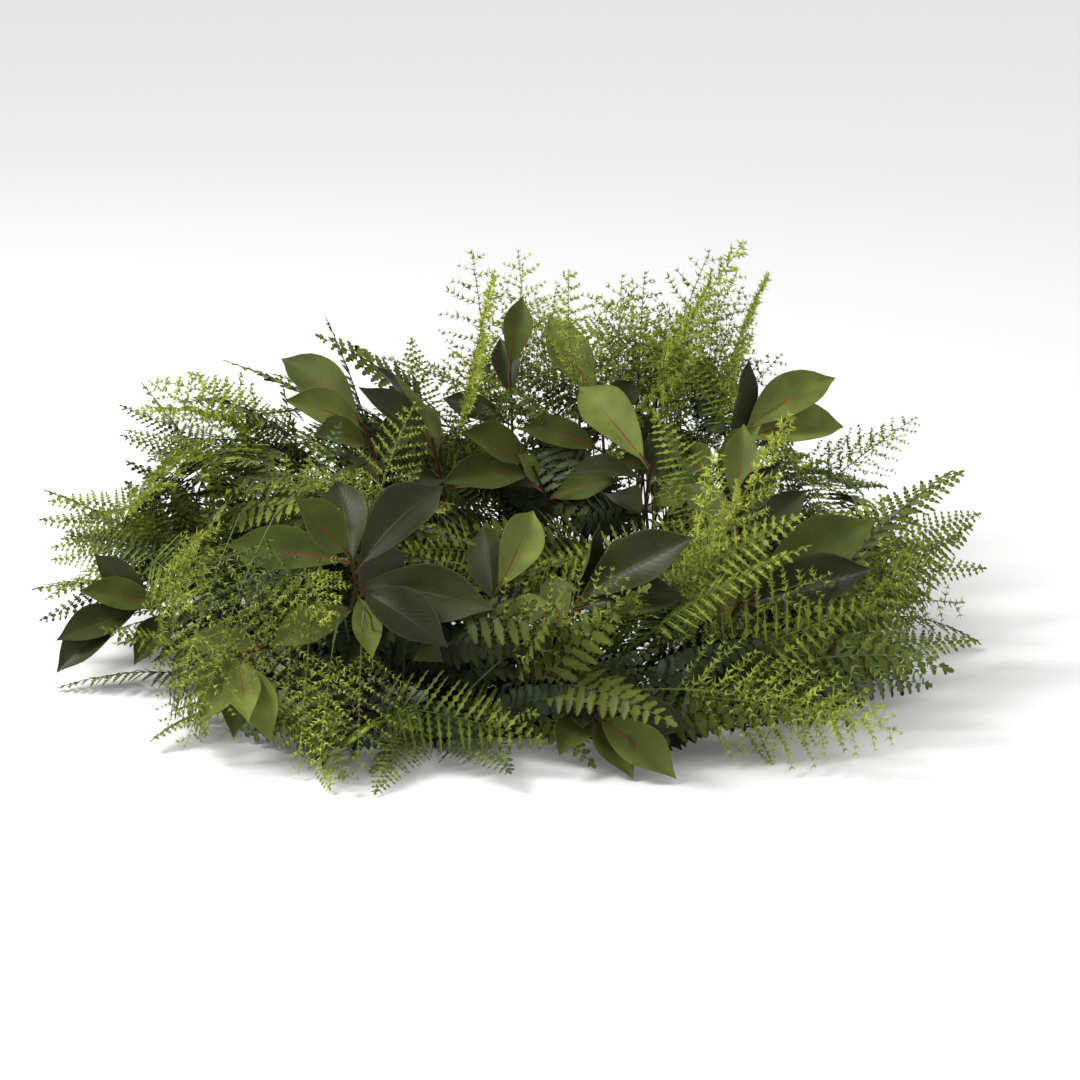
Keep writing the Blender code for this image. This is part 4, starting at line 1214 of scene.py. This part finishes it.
def leafMaterial(name, look):
    made, tree, sockets = newMaterial(name)
    marks = leafMarks(tree, look["rib"], look["ribEnd"])
    shade = patched(tree, *leafWear["patches"])
    deep, light = look["tones"]
    tone = mixed(tree, attribute(tree, tintName), solid(deep), solid(light))
    tone = toned(tree, tone, shade)
    for mark, (share, markTone) in look["marks"].items():
        tone = mixed(tree, times(marks[mark], share), tone, solid(markTone))
    height = maths("ADD", times(marks["veins"], look["veinHeight"]), shade)
    wireSurface(tree, sockets, tone, shade, look["roughness"], height, *leafWear["bump"])
    sockets["Specular IOR Level"].default_value = look["shine"]
    return made


leafLooks = dict(
    laurelUpper=dict(tones=((22, 24, 7), (46, 52, 13)), rib=0.018, ribEnd=0.95,
        marks=dict(veins=(0.12, (70, 80, 30)), edge=(0.35, (80, 90, 35)),
        rib=(0.7, (90, 100, 40))), roughness=(0.34, 0.46), veinHeight=-0.4, shine=0.16),
    # The underside's deep tone is painted shade, taken by leaves whose underside is drawn as lying in
    # shadow.
    laurelUnder=dict(tones=((52, 68, 9), (150, 185, 34)), rib=0.046, ribEnd=0.68,
        marks=dict(veins=(0.10, (170, 200, 50)), edge=(0.3, (130, 120, 30)),
        rib=(0.85, (190, 28, 20))), roughness=(0.55, 0.7), veinHeight=0.5, shine=0.2))
# Each frond's colour at its root and its tip, its odd ones' colour and share, its roughness, and where
# along it the tip's colour starts and ends. On lace and scallop fronds the odd colour is partly their
# own blue-green and partly a painted glint.
frondLooks = dict(
    twigBrown=((90, 35, 18), (110, 50, 20), (70, 40, 20), 0.2, (0.6, 0.8)),
    laceFern=((42, 68, 10), (220, 268, 35), (80, 112, 48), 0.10, (0.45, 0.62), -0.05, 1.0),
    laceRib=((20, 40, 12), (140, 180, 30), (20, 40, 15), 0.2, (0.5, 0.65)),
    scallopFern=((36, 48, 8), (125, 145, 20), (125, 155, 72), 0.16, (0.42, 0.6), 0.0, 1.0),
    scallopRib=((50, 62, 24), (130, 150, 70), (80, 110, 60), 0.3, (0.5, 0.66)),
    plumeNeedle=((160, 205, 30), (330, 380, 58), (90, 140, 40), 0.15, (0.5, 0.66), -0.1, 0.9),
    plumeTwig=((70, 100, 20), (220, 270, 60), (110, 150, 60), 0.3, (0.5, 0.66)),
    # The inner fronds' near-black colours are painted shade for the deep inside of the garland.
    shadedInnerFern=((10, 16, 4), (42, 56, 10), (26, 42, 18), 0.3, (0.55, 0.7), 0.2, 1.2),
    shadedInnerRib=((30, 30, 10), (40, 50, 15), (30, 40, 15), 0.2, (0.6, 0.75)),
    tieWire=((45, 60, 28), (45, 60, 28), (20, 22, 10), 0.0, (0.35, 0.5)))
finished = {name: leafMaterial(name, look) for name, look in leafLooks.items()}
finished.update((name, frondMaterial(name, *look)) for name, look in frondLooks.items())
worn = dict(
    laurel=("laurelUpper", "twigBrown", "laurelUnder"),
    lace=("laceFern", "laceRib"),
    scallop=("scallopFern", "scallopRib"),
    plume=("plumeNeedle", "plumeTwig"),
    inner=("shadedInnerFern", "shadedInnerRib"))
for kind, piece in pickPieces + fillPieces:
    for name in worn[kind]:
        piece.data.materials.append(finished[name])

# The stem's tape is wound round its wire in seams that run across the ring, and the tie is
# bare wire
stemLook = dict(
    tape=(52, 50, 22), seam=(20, 22, 10), turns=150.0, twist=420.0,
    seamLine=(0.06, 0.18, 1.0, 0.0), patches=(90.0, 0.7, 1.3), roughness=(0.7, 0.85),
    bump=(0.4, 0.0006))


def tapeMaterial():
    look = stemLook
    made, tree, sockets = newMaterial("stemTape")
    axes = axesOf(tree, addNode(tree, "TexCoord").outputs["Object"])
    turned = maths("ARCTAN2", axes[1], axes[0])
    wound = maths("ADD", times(turned, look["turns"] / (2 * pi)), times(axes[2], look["twist"]))
    seam = ranged(offMiddle(maths("FRACT", wound)), *look["seamLine"])
    shade = patched(tree, *look["patches"])
    tone = mixed(tree, seam, toned(tree, solid(look["tape"]), shade), solid(look["seam"]))
    height = maths("SUBTRACT", shade, seam)
    wireSurface(tree, sockets, tone, shade, look["roughness"], height, *look["bump"])
    return made


def dressNode(node, material):
    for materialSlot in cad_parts[node].material_slots:
        materialSlot.material = material


dressNode("garland_stem", tapeMaterial())
dressNode("end_tie", finished["tieWire"])

# Floor, light and camera
room = dict(
    floor=8.0, floorColour=(860, 860, 855), floorRoughness=0.8, world=(1000, 1000, 1000),
    worldStrength=0.90, keyPlace=(-2.0, -0.5, 2.4), keySize=1.2, keyPower=85.0)


def makeRoom():
    bm = bmesh.new()
    bmesh.ops.create_grid(bm, x_segments=1, y_segments=1, size=room["floor"])
    floor = linked("floor", toMesh(bm, "floor"))
    paleFloor, _, sockets = newMaterial("paleFloor")
    sockets["Base Color"].default_value = solid(room["floorColour"])
    sockets["Roughness"].default_value = room["floorRoughness"]
    floor.data.materials.append(paleFloor)
    world = bpy.data.worlds.new("studio")
    bpy.context.scene.world = world
    world.use_nodes = True
    backdrop = world.node_tree.nodes["Background"].inputs
    backdrop["Color"].default_value = solid(room["world"])
    backdrop["Strength"].default_value = room["worldStrength"]
    key = bpy.data.lights.new("key", "AREA")
    key.shape = "DISK"
    key.size = room["keySize"]
    key.energy = room["keyPower"]
    lamp = linked("key", key)
    lamp.location = room["keyPlace"]
    lamp.rotation_euler = (-lamp.location).to_track_quat("-Z", "Y").to_euler()


def makeCamera():
    camera = bpy.data.cameras.new("camera")
    camera.lens = view["lens"]
    camera.sensor_width = view["sensor"]
    camera.clip_end = view["clip"]
    eye = linked("camera", camera)
    target = Vector(view["target"]) + Vector((ringShift.x, ringShift.y, 0))
    away = towardsView * view["distance"]
    eye.location = target + away
    eye.rotation_euler = (-away).to_track_quat("-Z", "Y").to_euler()
    bpy.context.scene.camera = eye


makeRoom()
makeCamera()
bpy.context.scene.view_settings.view_transform = "Standard"
